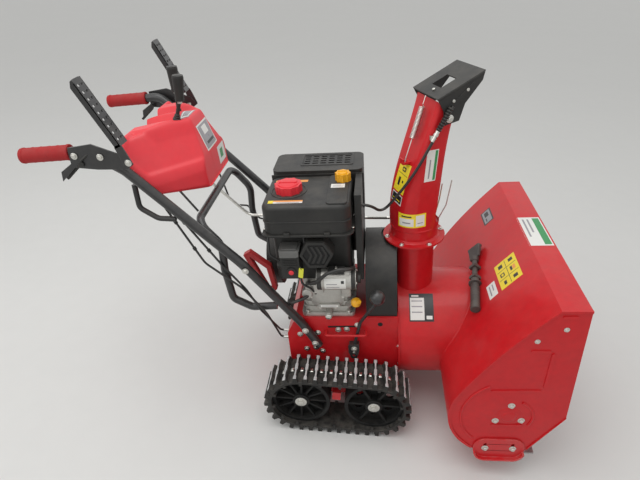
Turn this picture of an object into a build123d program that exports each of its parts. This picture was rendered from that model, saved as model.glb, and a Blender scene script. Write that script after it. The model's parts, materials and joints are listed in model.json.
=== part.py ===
from build123d import *
import math
import os

os.makedirs("parts", exist_ok=True)

# Tracked snow blower, in millimetres.
# Every piece is drawn with the machine level: X runs forward from the drive axle, Y to the
# machine's left, Z up from the floor. The tracks stay level. All that the chassis carries is
# then tipped nose-up about the drive axle, as the machine parks in its transport notch.

# Stance
RAISE = 4.9                # nose-up angle of the chassis on its tracks, degrees
AXLE_X = -23.2             # drive axle, from the middle of the machine's length
AXLE_Z = 115.0             # height of both track hubs
SHEET = 3.0                # steel sheet
RUN_GAP = 0.3              # radial gap of a shaft in its bearing
SEAT_GAP = 0.3             # gap between pieces that are bolted or clipped together

# Tracks
HUB_SPACING = 224.0        # drive hub to idler hub
BELT_R = 98.0              # outer face of the belt round a hub
BELT_THICK = 8.0
LUG_HEIGHT = AXLE_Z - BELT_R
LUG_COUNT = 36
LUG_THICK = 7.0
LUG_FLARE = 13.0           # lug thickness at its flared ends and middle
LUG_END = 12.0             # length of a flared end
LUG_MIDDLE = 22.0          # length of the wide middle
BELT_IN_Y = 173.0          # inner edge of the belt
BELT_WIDTH = 102.0
GUIDE_COUNT = 18           # guide blocks inside the belt
GUIDE_SIZE = 10.0
WHEEL_WIDTH = 72.0
WHEEL_RIM = 11.0
WHEEL_WEB = 8.0
WHEEL_HUB_R = 26.0
WHEEL_RIBS = 12
WHEEL_SET_IN = 16.0        # wheel face behind the belt's outer edge
AXLE_R = 12.5
IDLER_PIN_R = 8.0
WASHER_R = 17.0
WASHER_THICK = 3.0
BOLT_HEAD_R = 8.0
BOLT_HEAD = 6.0
TRACK_BEAM = 9.0           # thickness of the beam between the hubs
TRACK_BEAM_DEEP = 52.0
TIE_R = 10.0               # cross tie between both track beams

# Chassis
CHASSIS_REAR = -40.0
CHASSIS_FRONT = 300.0
CHASSIS_HALF = 145.0
CHASSIS_TOP = 350.0
CHASSIS_LOW = 75.0
CHASSIS_STEP_X = 165.0     # ahead of this the floor rises over the cross tie
CHASSIS_STEP_Z = 150.0
BEARING_R = 30.0
BEARING_THICK = 12.0

# Auger housing
AUGER_X = 590.0
AUGER_Z = 185.0
WRAP_R = 162.0             # outside of the wrapped sheet round the auger
HOUSING_HALF = 355.0       # outside of the side plates
HOUSING_FRONT = 738.0
HOUSING_TOP = 551.0
CREASE_X = 668.0           # where the sheet folds to the flat top
LIP_LOW_X = HOUSING_FRONT - 98.0   # front end of the round floor
SIDE_RIM = 7.0             # folded rim round each side plate
RIM_PROUD = 3.0
RIB_WIDE = 9.0             # pressed ribs of the side plates
RIB_PROUD = 2.5
SIDE_THICK = 3.0

# Impeller housing and chute ring
DRUM_R = 168.0
DRUM_Z = 232.0
DRUM_REAR = 300.0
CHUTE_X = 350.0
CHUTE_R = 68.0
DUCT_R = 60.0              # throat between drum and ring, flat behind
RING_Z = 557.0             # underside of the turning flange
RING_R = 90.0
RING_THICK = 5.0
COLLAR_THICK = 4.0         # fixed collar under the turning flange
THROW = 22.0               # the chute is parked this far left of forward, degrees

# Augers and impeller
FLIGHT_R = 146.0
FLIGHT_DEEP = 46.0
FLIGHT_THICK = 4.0
FLIGHT_TURNS = 1.25
FLIGHT_STEPS = 15
FLIGHT_IN = 62.0           # first edge of a flight from the middle
FLIGHT_SPAN = 262.0
FLIGHT_ARMS = (0.1, 0.5, 0.9)
FLIGHT_ARM_THICK = 6.0
SHAFT_R = 13.0
GEARCASE_R = 44.0
GEARCASE_HALF = 40.0
NOSE_R = 25.0
NOSE_REAR = 500.0
SHAFT_IN_NOSE = 40.0
IMPELLER_R = 150.0
IMPELLER_BLADES = 5
IMPELLER_DEEP = 78.0
IMPELLER_X = 318.0
IMPELLER_HUB_R = 27.0
IMPELLER_SHAFT_REAR = 270.0

# Skids, scraper and clean-out tool
SKID_X = 575.0
SKID_LOW = 14.0
SKID_TALL = 80.0
SKID_LONG = 140.0
SKID_THICK = 5.0
SKID_RUNNER = 16.0
SKID_SLOTS = 76.0
SCRAPER_X = LIP_LOW_X + 36.0
SCRAPER_Z = 27.9
TOOL_PADDLE = (552, 96, 441.4)
TOOL_GRIP = (517.5, -150, 396)
TOOL_R = 10.0
TOOL_CLIPS = (84, 128)
TOOL_ROUNDS = ((40, 130, 8), (140, 34, 12), (165, 89, TOOL_R))   # start, length, radius

# Handlebars
TUBE_R = 13.0
GRIP_R = 18.5
GRIP_LENGTH = 128.0
HANDLE_Y = 235.0
GRIP_END = 613.0           # rear end of the grips behind the drive axle
BRACE_R = 11.0
CONSOLE_HALF = 205.0

# Cables and the deflector's spring
CABLE_R = 4.0
CONDUIT_R = 7.0
WIRE_R = 3.0
SPRING_LOW = (-38, -14, 801.8)   # out from the chute's axis, to its left, up
SPRING_TOP = (18, -14, 970)

# Deflector hinge, out from the chute's axis and up
PIVOT_OUT = 58.0
PIVOT_Z = 918.0
PIVOT_R = 4.0
HOOD_GAP = 5.0


def bar(points, radii, thickness):
    """Round bar or cable along straight runs joined by arcs."""
    with BuildPart() as made:
        with BuildLine() as route:
            if len(points) == 2:
                Line(*points)
            else:
                FilletPolyline(*points, radius=radii)
        start = Plane(origin=route.wire() @ 0, z_dir=route.wire() % 0)
        with BuildSketch(start):
            Circle(thickness)
        sweep()
    return made.part


def mirrored(piece):
    """The same piece for the machine's other side."""
    return mirror(piece, about=Plane.XZ)


# Track belts: one loop a side with its lugs in one solid
BELT_IN_R = BELT_R - BELT_THICK
LOOP_ARC = math.pi * BELT_R
LUG_PITCH = 2 * (HUB_SPACING + LOOP_ARC) / LUG_COUNT
BELT_MID_Y = -BELT_IN_Y - BELT_WIDTH / 2


def loop_place(run, radius):
    """Place on the belt after a run along it, z outward: top run, front arc, floor run, rear arc."""
    run = run % (2 * (HUB_SPACING + LOOP_ARC))
    if run < HUB_SPACING:
        return Plane(origin=(run, BELT_MID_Y, AXLE_Z + radius), x_dir=(1, 0, 0), z_dir=(0, 0, 1))
    if run < HUB_SPACING + LOOP_ARC:
        turn = (run - HUB_SPACING) / BELT_R
        hub = HUB_SPACING
    elif run < 2 * HUB_SPACING + LOOP_ARC:
        along = HUB_SPACING - (run - HUB_SPACING - LOOP_ARC)
        return Plane(origin=(along, BELT_MID_Y, AXLE_Z - radius), x_dir=(-1, 0, 0), z_dir=(0, 0, -1))
    else:
        turn = math.pi + (run - 2 * HUB_SPACING - LOOP_ARC) / BELT_R
        hub = 0
    out = Vector(math.sin(turn), 0, math.cos(turn))
    along = Vector(math.cos(turn), 0, -math.sin(turn))
    return Plane(origin=Vector(hub, BELT_MID_Y, AXLE_Z) + out * radius, x_dir=along, z_dir=out)


LUG_ROOT = 2.0             # how deep a lug starts inside the belt
lug_places = [loop_place((i + 0.5) * LUG_PITCH, BELT_R - LUG_ROOT) for i in range(LUG_COUNT)]
guide_pitch = LUG_PITCH * LUG_COUNT / GUIDE_COUNT
guide_places = [loop_place(i * guide_pitch, BELT_IN_R + 1) for i in range(GUIDE_COUNT)]
BASE_UP = (Align.CENTER, Align.CENTER, Align.MIN)
BASE_DOWN = (Align.CENTER, Align.CENTER, Align.MAX)

with BuildPart() as track_right:
    with BuildSketch(Plane.XZ.offset(BELT_IN_Y)):
        with Locations((HUB_SPACING / 2, AXLE_Z)):
            SlotCenterToCenter(HUB_SPACING, 2 * BELT_R)
            SlotCenterToCenter(HUB_SPACING, 2 * BELT_IN_R, mode=Mode.SUBTRACT)
    extrude(amount=BELT_WIDTH)
    end_y = BELT_WIDTH / 2 - LUG_END / 2
    with Locations(*lug_places):
        Box(LUG_THICK, BELT_WIDTH, LUG_HEIGHT + LUG_ROOT, align=BASE_UP)
        Box(LUG_FLARE, LUG_MIDDLE, LUG_HEIGHT + LUG_ROOT - 3, align=BASE_UP)
        with Locations((0, end_y, 0), (0, -end_y, 0)):
            Box(LUG_FLARE, LUG_END, LUG_HEIGHT + LUG_ROOT, align=BASE_UP)
    guide_y = BELT_WIDTH / 2 - GUIDE_SIZE / 2
    with Locations(*guide_places):
        with Locations((0, guide_y, 0), (0, -guide_y, 0)):
            Box(GUIDE_SIZE, GUIDE_SIZE, GUIDE_SIZE + 1, align=BASE_DOWN)
track_right.part.label = "track_right"

with BuildPart() as track_left:
    add(mirrored(track_right.part))
track_left.part.label = "track_left"

# Track wheels: ribbed drive wheel behind, windowed idler in front
WHEEL_R = BELT_IN_R - SEAT_GAP
WHEEL_FACE = BELT_IN_Y + BELT_WIDTH - WHEEL_SET_IN
WEB_FACE = WHEEL_FACE - WHEEL_WIDTH / 2

with BuildPart() as wheels_right:
    for hub_x, bore in ((0, AXLE_R), (HUB_SPACING, IDLER_PIN_R)):
        with BuildSketch(Plane.XZ.offset(WHEEL_FACE - WHEEL_WIDTH)):
            with Locations((hub_x, AXLE_Z)):
                Circle(WHEEL_R)
                Circle(WHEEL_R - WHEEL_RIM, mode=Mode.SUBTRACT)
                Circle(WHEEL_HUB_R)
        extrude(amount=WHEEL_WIDTH)
        with BuildSketch(Plane.XZ.offset(WEB_FACE)):
            with Locations((hub_x, AXLE_Z)):
                Circle(WHEEL_R - WHEEL_RIM / 2)
        extrude(amount=WHEEL_WEB)
    rib_mid = (WHEEL_R - WHEEL_RIM + WHEEL_HUB_R) / 2
    rib_long = WHEEL_R - WHEEL_RIM - WHEEL_HUB_R + 8
    with BuildSketch(Plane.XZ.offset(WEB_FACE)):
        with Locations((0, AXLE_Z)):
            with PolarLocations(rib_mid, WHEEL_RIBS):
                Rectangle(rib_long, 6)
        with Locations((HUB_SPACING, AXLE_Z)):
            with PolarLocations(rib_mid, 6):
                Rectangle(rib_long, 8)
    extrude(amount=WHEEL_WIDTH / 2 - 8)
    with BuildSketch(Plane.XZ.offset(WEB_FACE - 5)):
        with Locations((HUB_SPACING, AXLE_Z)):
            with PolarLocations(54, 6, start_angle=30):
                Circle(13)
    extrude(amount=WHEEL_WEB + 10, mode=Mode.SUBTRACT)
    for hub_x, bore in ((0, AXLE_R), (HUB_SPACING, IDLER_PIN_R)):
        with BuildSketch(Plane.XZ.offset(WHEEL_FACE - WHEEL_WIDTH - 5)):
            with Locations((hub_x, AXLE_Z)):
                Circle(bore + RUN_GAP)
        extrude(amount=WHEEL_WIDTH + 10, mode=Mode.SUBTRACT)
wheels_right.part.label = "track_wheels_right"

with BuildPart() as wheels_left:
    add(mirrored(wheels_right.part))
wheels_left.part.label = "track_wheels_left"

# Track beams: red beam inside each belt, with the idler pin and the belt tensioner
BEAM_Y = WHEEL_FACE - WHEEL_WIDTH - SEAT_GAP - TRACK_BEAM

with BuildPart() as beam_right:
    with BuildSketch(Plane.XZ.offset(BEAM_Y)):
        with Locations((HUB_SPACING / 2, AXLE_Z)):
            SlotCenterToCenter(HUB_SPACING, TRACK_BEAM_DEEP)
        with Locations((0, AXLE_Z)):
            Circle(AXLE_R + RUN_GAP, mode=Mode.SUBTRACT)
    extrude(amount=TRACK_BEAM)
    with BuildSketch(Plane.XZ.offset(BEAM_Y + TRACK_BEAM)):
        with Locations((HUB_SPACING, AXLE_Z)):
            Circle(IDLER_PIN_R)
    extrude(amount=WHEEL_WIDTH + SEAT_GAP)
    with BuildSketch(Plane.XZ.offset(BEAM_Y + TRACK_BEAM + WHEEL_WIDTH + SEAT_GAP)):
        with Locations((HUB_SPACING, AXLE_Z)):
            Circle(WASHER_R)
    extrude(amount=WASHER_THICK)
    with BuildSketch(Plane.XZ.offset(BEAM_Y + TRACK_BEAM + WHEEL_WIDTH + SEAT_GAP + WASHER_THICK)):
        with Locations((HUB_SPACING, AXLE_Z)):
            RegularPolygon(BOLT_HEAD_R, 6)
    extrude(amount=BOLT_HEAD)
    with BuildSketch(Plane.XZ.offset(BEAM_Y)):
        with Locations((HUB_SPACING / 2 - 4, AXLE_Z + 18)):
            Rectangle(26, 30)
    extrude(amount=TRACK_BEAM + 58)
beam_right.part.label = "track_beam_right"

with BuildPart() as beam_left:
    add(mirrored(beam_right.part))
beam_left.part.label = "track_beam_left"

# Drive axle through both drive wheels, and the cross tie that joins the beams
with BuildPart() as drive_axle:
    with BuildSketch(Plane.XZ):
        with Locations((0, AXLE_Z)):
            Circle(AXLE_R)
    extrude(amount=WHEEL_FACE + SEAT_GAP, both=True)
    for side in (-1, 1):
        with BuildSketch(Plane.XZ.offset(side * (WHEEL_FACE + SEAT_GAP))):
            with Locations((0, AXLE_Z)):
                Circle(WASHER_R)
        extrude(amount=side * WASHER_THICK)
        with BuildSketch(Plane.XZ.offset(side * (WHEEL_FACE + SEAT_GAP + WASHER_THICK))):
            with Locations((0, AXLE_Z)):
                RegularPolygon(BOLT_HEAD_R, 6)
        extrude(amount=side * BOLT_HEAD)
drive_axle.part.label = "drive_axle"

with BuildPart() as cross_tie:
    with BuildSketch(Plane.XZ):
        with Locations((HUB_SPACING, AXLE_Z)):
            Circle(TIE_R)
    extrude(amount=BEAM_Y, both=True)
cross_tie.part.label = "track_tie"

# Chassis: folded sheet tub, open at the top under the engine's mounting plate
CHASSIS_SIDE = [
    (CHASSIS_REAR, CHASSIS_LOW),
    (CHASSIS_STEP_X, CHASSIS_LOW),
    (CHASSIS_STEP_X + 35, CHASSIS_STEP_Z),
    (CHASSIS_FRONT, CHASSIS_STEP_Z),
    (CHASSIS_FRONT, CHASSIS_TOP),
    (CHASSIS_REAR + 30, CHASSIS_TOP),
    (CHASSIS_REAR, CHASSIS_TOP - 60),
]

with BuildPart() as chassis:
    with BuildSketch(Plane.XZ):
        with BuildLine():
            Polyline(*CHASSIS_SIDE, close=True)
        make_face()
    extrude(amount=CHASSIS_HALF, both=True)
    top_face = chassis.faces().sort_by(Axis.Z)[-1]
    offset(amount=-SHEET, openings=top_face)
    for side in (-1, 1):
        with BuildSketch(Plane.XZ.offset(side * CHASSIS_HALF)):
            with Locations((0, AXLE_Z)):
                Circle(BEARING_R)
        extrude(amount=side * BEARING_THICK)
    with BuildSketch(Plane.XZ):
        with Locations((0, AXLE_Z)):
            Circle(AXLE_R + RUN_GAP)
    extrude(amount=CHASSIS_HALF + BEARING_THICK + 5, both=True, mode=Mode.SUBTRACT)
    with BuildSketch(Plane.YZ.offset(CHASSIS_FRONT - 10)):
        with Locations((0, DRUM_Z)):
            Circle(SHAFT_R + 8)
    extrude(amount=20, mode=Mode.SUBTRACT)
chassis.part.label = "chassis"

# Engine mounting plate closes the chassis
with BuildPart() as engine_plate:
    with BuildSketch(Plane.XY.offset(CHASSIS_TOP)):
        with Locations(((CHASSIS_REAR + 30 + CHASSIS_FRONT) / 2, 0)):
            Rectangle(CHASSIS_FRONT - CHASSIS_REAR - 30, 2 * CHASSIS_HALF)
    extrude(amount=SHEET)
engine_plate.part.label = "engine_plate"

# Transmission: one plain heavy block inside the chassis, over the drive axle
with BuildPart() as transmission:
    with BuildSketch(Plane.XY.offset(AXLE_Z + 30)):
        with Locations((50, 0)):
            Rectangle(100, 2 * (CHASSIS_HALF - SHEET - SEAT_GAP))
    extrude(amount=90)
transmission.part.label = "transmission"

ENGINE_BASE = CHASSIS_TOP + SHEET

CASE_RIBS = (385, 405, 424)    # heights of the ribs round the crankcase

# Engine block with its foot, ribs and cylinder to the far side
with BuildPart() as engine_block:
    with BuildSketch(Plane.XY.offset(ENGINE_BASE)):
        with Locations((92, -30)):
            RectangleRounded(160, 216, 12)
    extrude(amount=14)
    with BuildSketch(Plane.XY.offset(ENGINE_BASE + 14)):
        with Locations((92, -30)):
            RectangleRounded(140, 200, 16)
    extrude(amount=120)
    for height in CASE_RIBS:
        with BuildSketch(Plane.XY.offset(height)):
            with Locations((92, -30)):
                RectangleRounded(150, 210, 18)
        extrude(amount=4)
    with BuildSketch(Plane.XZ.offset(-60)):
        with Locations((92, ENGINE_BASE + 74)):
            RectangleRounded(110, 116, 14)
    extrude(amount=-78)
engine_block.part.label = "engine_block"

TANK_LOW = 656.0
TANK_TOP = 748.0
TANK_REAR = -60.0
TANK_FRONT = 176.0
TANK_NEAR = -180.0
TANK_FAR = 18.0
TANK_MID_X = (TANK_REAR + TANK_FRONT) / 2
TANK_MID_Y = (TANK_NEAR + TANK_FAR) / 2

with BuildPart() as fuel_tank:
    with BuildSketch(Plane.XY.offset(TANK_LOW)):
        with Locations((TANK_MID_X, TANK_MID_Y)):
            RectangleRounded(TANK_FRONT - TANK_REAR, TANK_FAR - TANK_NEAR, 30)
    extrude(amount=TANK_TOP - TANK_LOW)
    fillet(fuel_tank.faces().sort_by(Axis.Z)[-1].edges(), 12)
    with BuildSketch(Plane.XY.offset(TANK_LOW)):
        with Locations((TANK_MID_X, TANK_MID_Y)):
            RectangleRounded(TANK_FRONT - TANK_REAR + 12, TANK_FAR - TANK_NEAR, 30)
    extrude(amount=8)
fuel_tank.part.label = "fuel_tank"

with BuildPart() as fuel_cap:
    with BuildSketch(Plane.XY.offset(TANK_TOP + SEAT_GAP)):
        with Locations((4, -82)):
            Circle(35)
            with PolarLocations(32, 10):
                Circle(6)
    extrude(amount=22)
fuel_cap.part.label = "fuel_cap"

COWL_TOP = 762.0
COWL_FAR = 155.0
COWL_FRONT = 204.0

with BuildPart() as engine_cowl:
    with BuildSketch(Plane.XY.offset(600)):
        with Locations(((TANK_REAR + COWL_FRONT) / 2, (TANK_FAR + SEAT_GAP + COWL_FAR) / 2)):
            RectangleRounded(COWL_FRONT - TANK_REAR, COWL_FAR - TANK_FAR - SEAT_GAP, 22)
    extrude(amount=COWL_TOP - 600)
    with BuildSketch(Plane.XY.offset(ENGINE_BASE + 134)):
        with Locations(((COWL_FRONT - 50) / 2, (TANK_FAR + COWL_FAR) / 2)):
            RectangleRounded(COWL_FRONT + 46, COWL_FAR - TANK_FAR - 6, 22)
    extrude(amount=120)
    with BuildSketch(Plane.XY.offset(480)):
        with Locations(((TANK_FRONT + COWL_FRONT) / 2 + 3, -5)):
            Rectangle(COWL_FRONT - TANK_FRONT - 10, 240)
    extrude(amount=270)
    with BuildSketch(Plane.XY.offset(COWL_TOP)):
        with Locations((97, 100)):
            with GridLocations(24, 17, 6, 4):
                SlotOverall(18, 7)
    extrude(amount=-6, mode=Mode.SUBTRACT)
engine_cowl.part.label = "engine_cowl"

with BuildPart() as oil_cap:
    with BuildSketch(Plane.XY.offset(TANK_TOP + SEAT_GAP)):
        with Locations((150, -28)):
            Circle(19)
            with PolarLocations(18, 8):
                Circle(4)
    extrude(amount=26)
oil_cap.part.label = "oil_filler_cap"

with BuildPart() as blower_housing:
    with BuildSketch(Plane.XY.offset(ENGINE_BASE + 134 + SEAT_GAP)):
        with Locations((60, (TANK_FAR - 130) / 2)):
            RectangleRounded(220, TANK_FAR + 130, 18)
    extrude(amount=TANK_LOW - ENGINE_BASE - 134 - 2 * SEAT_GAP)
blower_housing.part.label = "blower_housing"

with BuildPart() as recoil_starter:
    with BuildSketch(Plane.YZ.offset(-50 - SEAT_GAP)):
        with Locations((-2, 497)):
            Circle(95)
    extrude(amount=-34)
    with BuildSketch(Plane.XZ.offset(80)):
        with Locations((-77, 521)):
            Circle(8)
    extrude(amount=31.7)
recoil_starter.part.label = "recoil_starter"

RECOIL_GRIP = [(-142, 570), (-122, 582), (-66, 530), (-56, 450), (-72, 432), (-92, 440)]

with BuildPart() as recoil_handle:
    with BuildSketch(Plane.XZ.offset(112)):
        with BuildLine():
            Polyline(*RECOIL_GRIP, close=True)
        make_face()
        offset(amount=-14, mode=Mode.SUBTRACT)
    extrude(amount=18)
recoil_handle.part.label = "recoil_handle"

with BuildPart() as starter_motor:
    with BuildSketch(Plane.YZ.offset(72)):
        with Locations((-161.3, 509)):
            Circle(31)
    extrude(amount=110)
starter_motor.part.label = "starter_motor"

with BuildPart() as heater_box:
    with BuildSketch(Plane.XY.offset(520)):
        with Locations((2, -154.3)):
            Rectangle(53, 48)
    extrude(amount=92)
heater_box.part.label = "carburettor_box"

with BuildPart() as muffler_guard:
    with BuildSketch(Plane.XZ.offset(130 + SEAT_GAP)):
        with Locations((77, 597)):
            RegularPolygon(48, 6)
    extrude(amount=44)
muffler_guard.part.label = "muffler_guard"

# Belt cover between engine and impeller housing, hollowed round the chute duct
COVER_REAR = COWL_FRONT + 2
COVER_FRONT = 297.0
COVER_TOP = 560.0
COVER_HALF = 138.0

with BuildPart() as belt_cover:
    with BuildSketch(Plane.YZ.offset(COVER_REAR)):
        with BuildLine():
            Line((-COVER_HALF, ENGINE_BASE), (-COVER_HALF, COVER_TOP - COVER_HALF))
            ThreePointArc((-COVER_HALF, COVER_TOP - COVER_HALF), (0, COVER_TOP),
                          (COVER_HALF, COVER_TOP - COVER_HALF))
            Line((COVER_HALF, COVER_TOP - COVER_HALF), (COVER_HALF, ENGINE_BASE))
            Line((COVER_HALF, ENGINE_BASE), (-COVER_HALF, ENGINE_BASE))
        make_face()
    extrude(amount=COVER_FRONT - COVER_REAR)
    with BuildSketch(Plane.XY.offset(RING_Z - 8)):
        with Locations((CHUTE_X, 0)):
            Circle(RING_R + 6)
    extrude(amount=COVER_TOP, mode=Mode.SUBTRACT)
    with BuildSketch(Plane.XY.offset(DRUM_Z)):
        with Locations((CHUTE_X, 0)):
            Circle(DUCT_R + 5)
    extrude(amount=COVER_TOP, mode=Mode.SUBTRACT)
    offset(amount=-SHEET, openings=belt_cover.faces().sort_by(Axis.X)[0])
belt_cover.part.label = "belt_cover"

# Auger housing: wrapped sheet between two side plates
TANGENT = math.radians(150)
TANGENT_X = AUGER_X + WRAP_R * math.cos(TANGENT)
TANGENT_Z = AUGER_Z + WRAP_R * math.sin(TANGENT)


def housing_profile(inset, out_y):
    """Side outline of the housing at a distance to the right, inset from the outside of its sheet."""
    round_r = WRAP_R - inset
    low_x = LIP_LOW_X
    low_z = AUGER_Z - math.sqrt(round_r ** 2 - (low_x - AUGER_X) ** 2)
    tangent = (AUGER_X + round_r * math.cos(TANGENT), AUGER_Z + round_r * math.sin(TANGENT))
    rear = (AUGER_X - round_r, AUGER_Z)
    crease = (CREASE_X, HOUSING_TOP - inset)
    with BuildSketch(Plane.XZ.offset(out_y)) as outline:
        with BuildLine():
            ThreePointArc((low_x, low_z), rear, tangent)
            steep = (math.sin(TANGENT), -math.cos(TANGENT))
            TangentArc(tangent, crease, tangent=(steep[0], steep[1]))
            Line(crease, (HOUSING_FRONT, HOUSING_TOP - inset))
            Line((HOUSING_FRONT, HOUSING_TOP - inset), (HOUSING_FRONT, AUGER_Z))
            Line((HOUSING_FRONT, AUGER_Z), (low_x, low_z))
        make_face()
    return outline.sketch.face()


WRAP_HALF = HOUSING_HALF - SIDE_THICK

with BuildPart() as auger_housing:
    extrude(housing_profile(0, -WRAP_HALF), amount=2 * WRAP_HALF)
    extrude(housing_profile(SHEET, -WRAP_HALF - 5), amount=2 * WRAP_HALF + 10, mode=Mode.SUBTRACT)
    with BuildSketch(Plane.XZ.offset(-WRAP_HALF - 5)):
        with BuildLine():
            Polyline((LIP_LOW_X, 0), (LIP_LOW_X, 60), (HOUSING_FRONT - 20, AUGER_Z + 60),
                     (HOUSING_FRONT - 20, HOUSING_TOP - SHEET), (HOUSING_FRONT + 20, HOUSING_TOP - SHEET),
                     (HOUSING_FRONT + 20, 0), close=True)
        make_face()
    extrude(amount=2 * WRAP_HALF + 10, mode=Mode.SUBTRACT)
    with BuildSketch(Plane.YZ.offset(CHASSIS_FRONT)):
        with Locations((0, DRUM_Z)):
            Circle(DRUM_R - SHEET)
    extrude(amount=AUGER_X - CHASSIS_FRONT, mode=Mode.SUBTRACT)
auger_housing.part.label = "auger_housing"

# start and end of each rib's middle line, forward and up
SIDE_RIBS = (
    (538, 281, 655, 285),
    (550, 149, 623, 151),
    (667, 302, 671, 412),
    (621, 423, 660, 422),
    (678, 531, 705, 531),
)

with BuildPart() as side_right:
    extrude(housing_profile(0, WRAP_HALF), amount=SIDE_THICK + RIM_PROUD)
    extrude(housing_profile(SIDE_RIM, HOUSING_HALF), amount=RIM_PROUD, mode=Mode.SUBTRACT)
    with BuildSketch(Plane.XZ.offset(HOUSING_HALF)):
        with Locations((SKID_X, SKID_LOW + SKID_TALL / 2)):
            Rectangle(SKID_LONG + 2 * SIDE_RIM, SKID_TALL + 2 * SIDE_RIM)
    extrude(amount=RIM_PROUD, mode=Mode.SUBTRACT)
    with BuildSketch(Plane.XZ.offset(HOUSING_HALF)):
        for start_x, start_z, end_x, end_z in SIDE_RIBS:
            slope = math.degrees(math.atan2(end_z - start_z, end_x - start_x))
            with Locations(((start_x + end_x) / 2, (start_z + end_z) / 2)):
                SlotCenterToCenter(math.dist((start_x, start_z), (end_x, end_z)), RIB_WIDE, rotation=slope)
    extrude(amount=RIB_PROUD)
side_right.part.label = "side_plate_right"

with BuildPart() as side_left:
    add(mirrored(side_right.part))
side_left.part.label = "side_plate_left"

# Impeller housing: drum, back plate and the duct up to the chute ring
with BuildPart() as impeller_housing:
    with BuildSketch(Plane.YZ.offset(DRUM_REAR)):
        with Locations((0, DRUM_Z)):
            Circle(DRUM_R)
    extrude(amount=AUGER_X - DRUM_REAR)
    for wall, mode in ((0, Mode.ADD), (SHEET, Mode.SUBTRACT)):
        with BuildSketch(Plane.XY.offset(DRUM_Z)):
            with Locations((CHUTE_X, 0)):
                Circle(DUCT_R - wall)
            with Locations((DRUM_REAR + wall, 0)):
                Rectangle(200, 200, align=(Align.MAX, Align.CENTER), mode=Mode.SUBTRACT)
        extrude(amount=RING_Z - SEAT_GAP - DRUM_Z, mode=mode)
    with BuildSketch(Plane.YZ.offset(DRUM_REAR + SHEET)):
        with Locations((0, DRUM_Z)):
            Circle(DRUM_R - SHEET)
    extrude(amount=AUGER_X - DRUM_REAR, mode=Mode.SUBTRACT)
    with BuildSketch(Plane.XY.offset(RING_Z - RUN_GAP - COLLAR_THICK)):
        with Locations((CHUTE_X, 0)):
            Circle(RING_R - 4)
            Circle(DUCT_R - SHEET, mode=Mode.SUBTRACT)
        with Locations((CHUTE_X - 20, 108)):
            Rectangle(30, 66)
    extrude(amount=COLLAR_THICK)
    with BuildSketch(Plane.XY.offset(RING_Z - 34)):
        with Locations((CHUTE_X - 20, 133)):
            Rectangle(30, 16)
    extrude(amount=34 - RUN_GAP)
    with BuildSketch(Plane.YZ.offset(DRUM_REAR - 5)):
        with Locations((0, DRUM_Z)):
            Circle(SHAFT_R + RUN_GAP)
    extrude(amount=20, mode=Mode.SUBTRACT)
    extrude(housing_profile(0, -WRAP_HALF), amount=2 * WRAP_HALF, mode=Mode.SUBTRACT)
impeller_housing.part.label = "impeller_housing"

# Gearbox on the auger shaft, held by the impeller shaft's nose
with BuildPart() as gearbox:
    with BuildSketch(Plane.XZ):
        with Locations((AUGER_X, AUGER_Z)):
            Circle(GEARCASE_R)
    extrude(amount=GEARCASE_HALF, both=True)
    with BuildSketch(Plane.YZ.offset(NOSE_REAR)):
        with Locations((0, DRUM_Z)):
            Circle(NOSE_R)
    extrude(amount=AUGER_X + 20 - NOSE_REAR)
    with BuildSketch(Plane.XZ):
        with Locations((AUGER_X, AUGER_Z)):
            Circle(SHAFT_R + RUN_GAP)
    extrude(amount=GEARCASE_HALF + 5, both=True, mode=Mode.SUBTRACT)
    with BuildSketch(Plane.YZ.offset(NOSE_REAR - 5)):
        with Locations((0, DRUM_Z)):
            Circle(SHAFT_R + RUN_GAP)
    extrude(amount=SHAFT_IN_NOSE + 5 + RUN_GAP, mode=Mode.SUBTRACT)
gearbox.part.label = "auger_gearbox"

# Augers: cross shaft and one ribbon flight a side, of opposite hand, on two pairs of arms
FLIGHT_MID = FLIGHT_R - FLIGHT_DEEP / 2


def flight(side):
    """Ribbon flight and its arms on one side of the gearbox."""
    with BuildPart() as made:
        for i in range(FLIGHT_STEPS + 1):
            share = i / FLIGHT_STEPS
            turn = math.radians(360 * FLIGHT_TURNS * share)
            out = Vector(math.cos(turn), 0, math.sin(turn))
            middle = Vector(AUGER_X, side * (FLIGHT_IN + FLIGHT_SPAN * share), AUGER_Z) + out * FLIGHT_MID
            across = out.cross(Vector(0, 1, 0))
            with BuildSketch(Plane(origin=middle, x_dir=out, z_dir=across)):
                Rectangle(FLIGHT_DEEP, FLIGHT_THICK)
        loft(ruled=True)
    with BuildPart() as arms:
        for share in FLIGHT_ARMS:
            turn = math.radians(360 * FLIGHT_TURNS * share)
            out = Vector(math.cos(turn), 0, math.sin(turn))
            foot = Vector(AUGER_X, side * (FLIGHT_IN + FLIGHT_SPAN * share), AUGER_Z)
            with BuildSketch(Plane(origin=foot, x_dir=(0, 1, 0), z_dir=out)):
                Rectangle(FLIGHT_ARM_THICK, 26)
            extrude(amount=FLIGHT_R - 12)
    return made.part, arms.part


with BuildPart() as auger:
    with BuildSketch(Plane.XZ):
        with Locations((AUGER_X, AUGER_Z)):
            Circle(SHAFT_R)
    extrude(amount=HOUSING_HALF - SIDE_THICK - RUN_GAP, both=True)
    for side in (-1, 1):
        ribbon, arms = flight(side)
        add(ribbon)
        add(arms)
auger.part.label = "auger"

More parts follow.
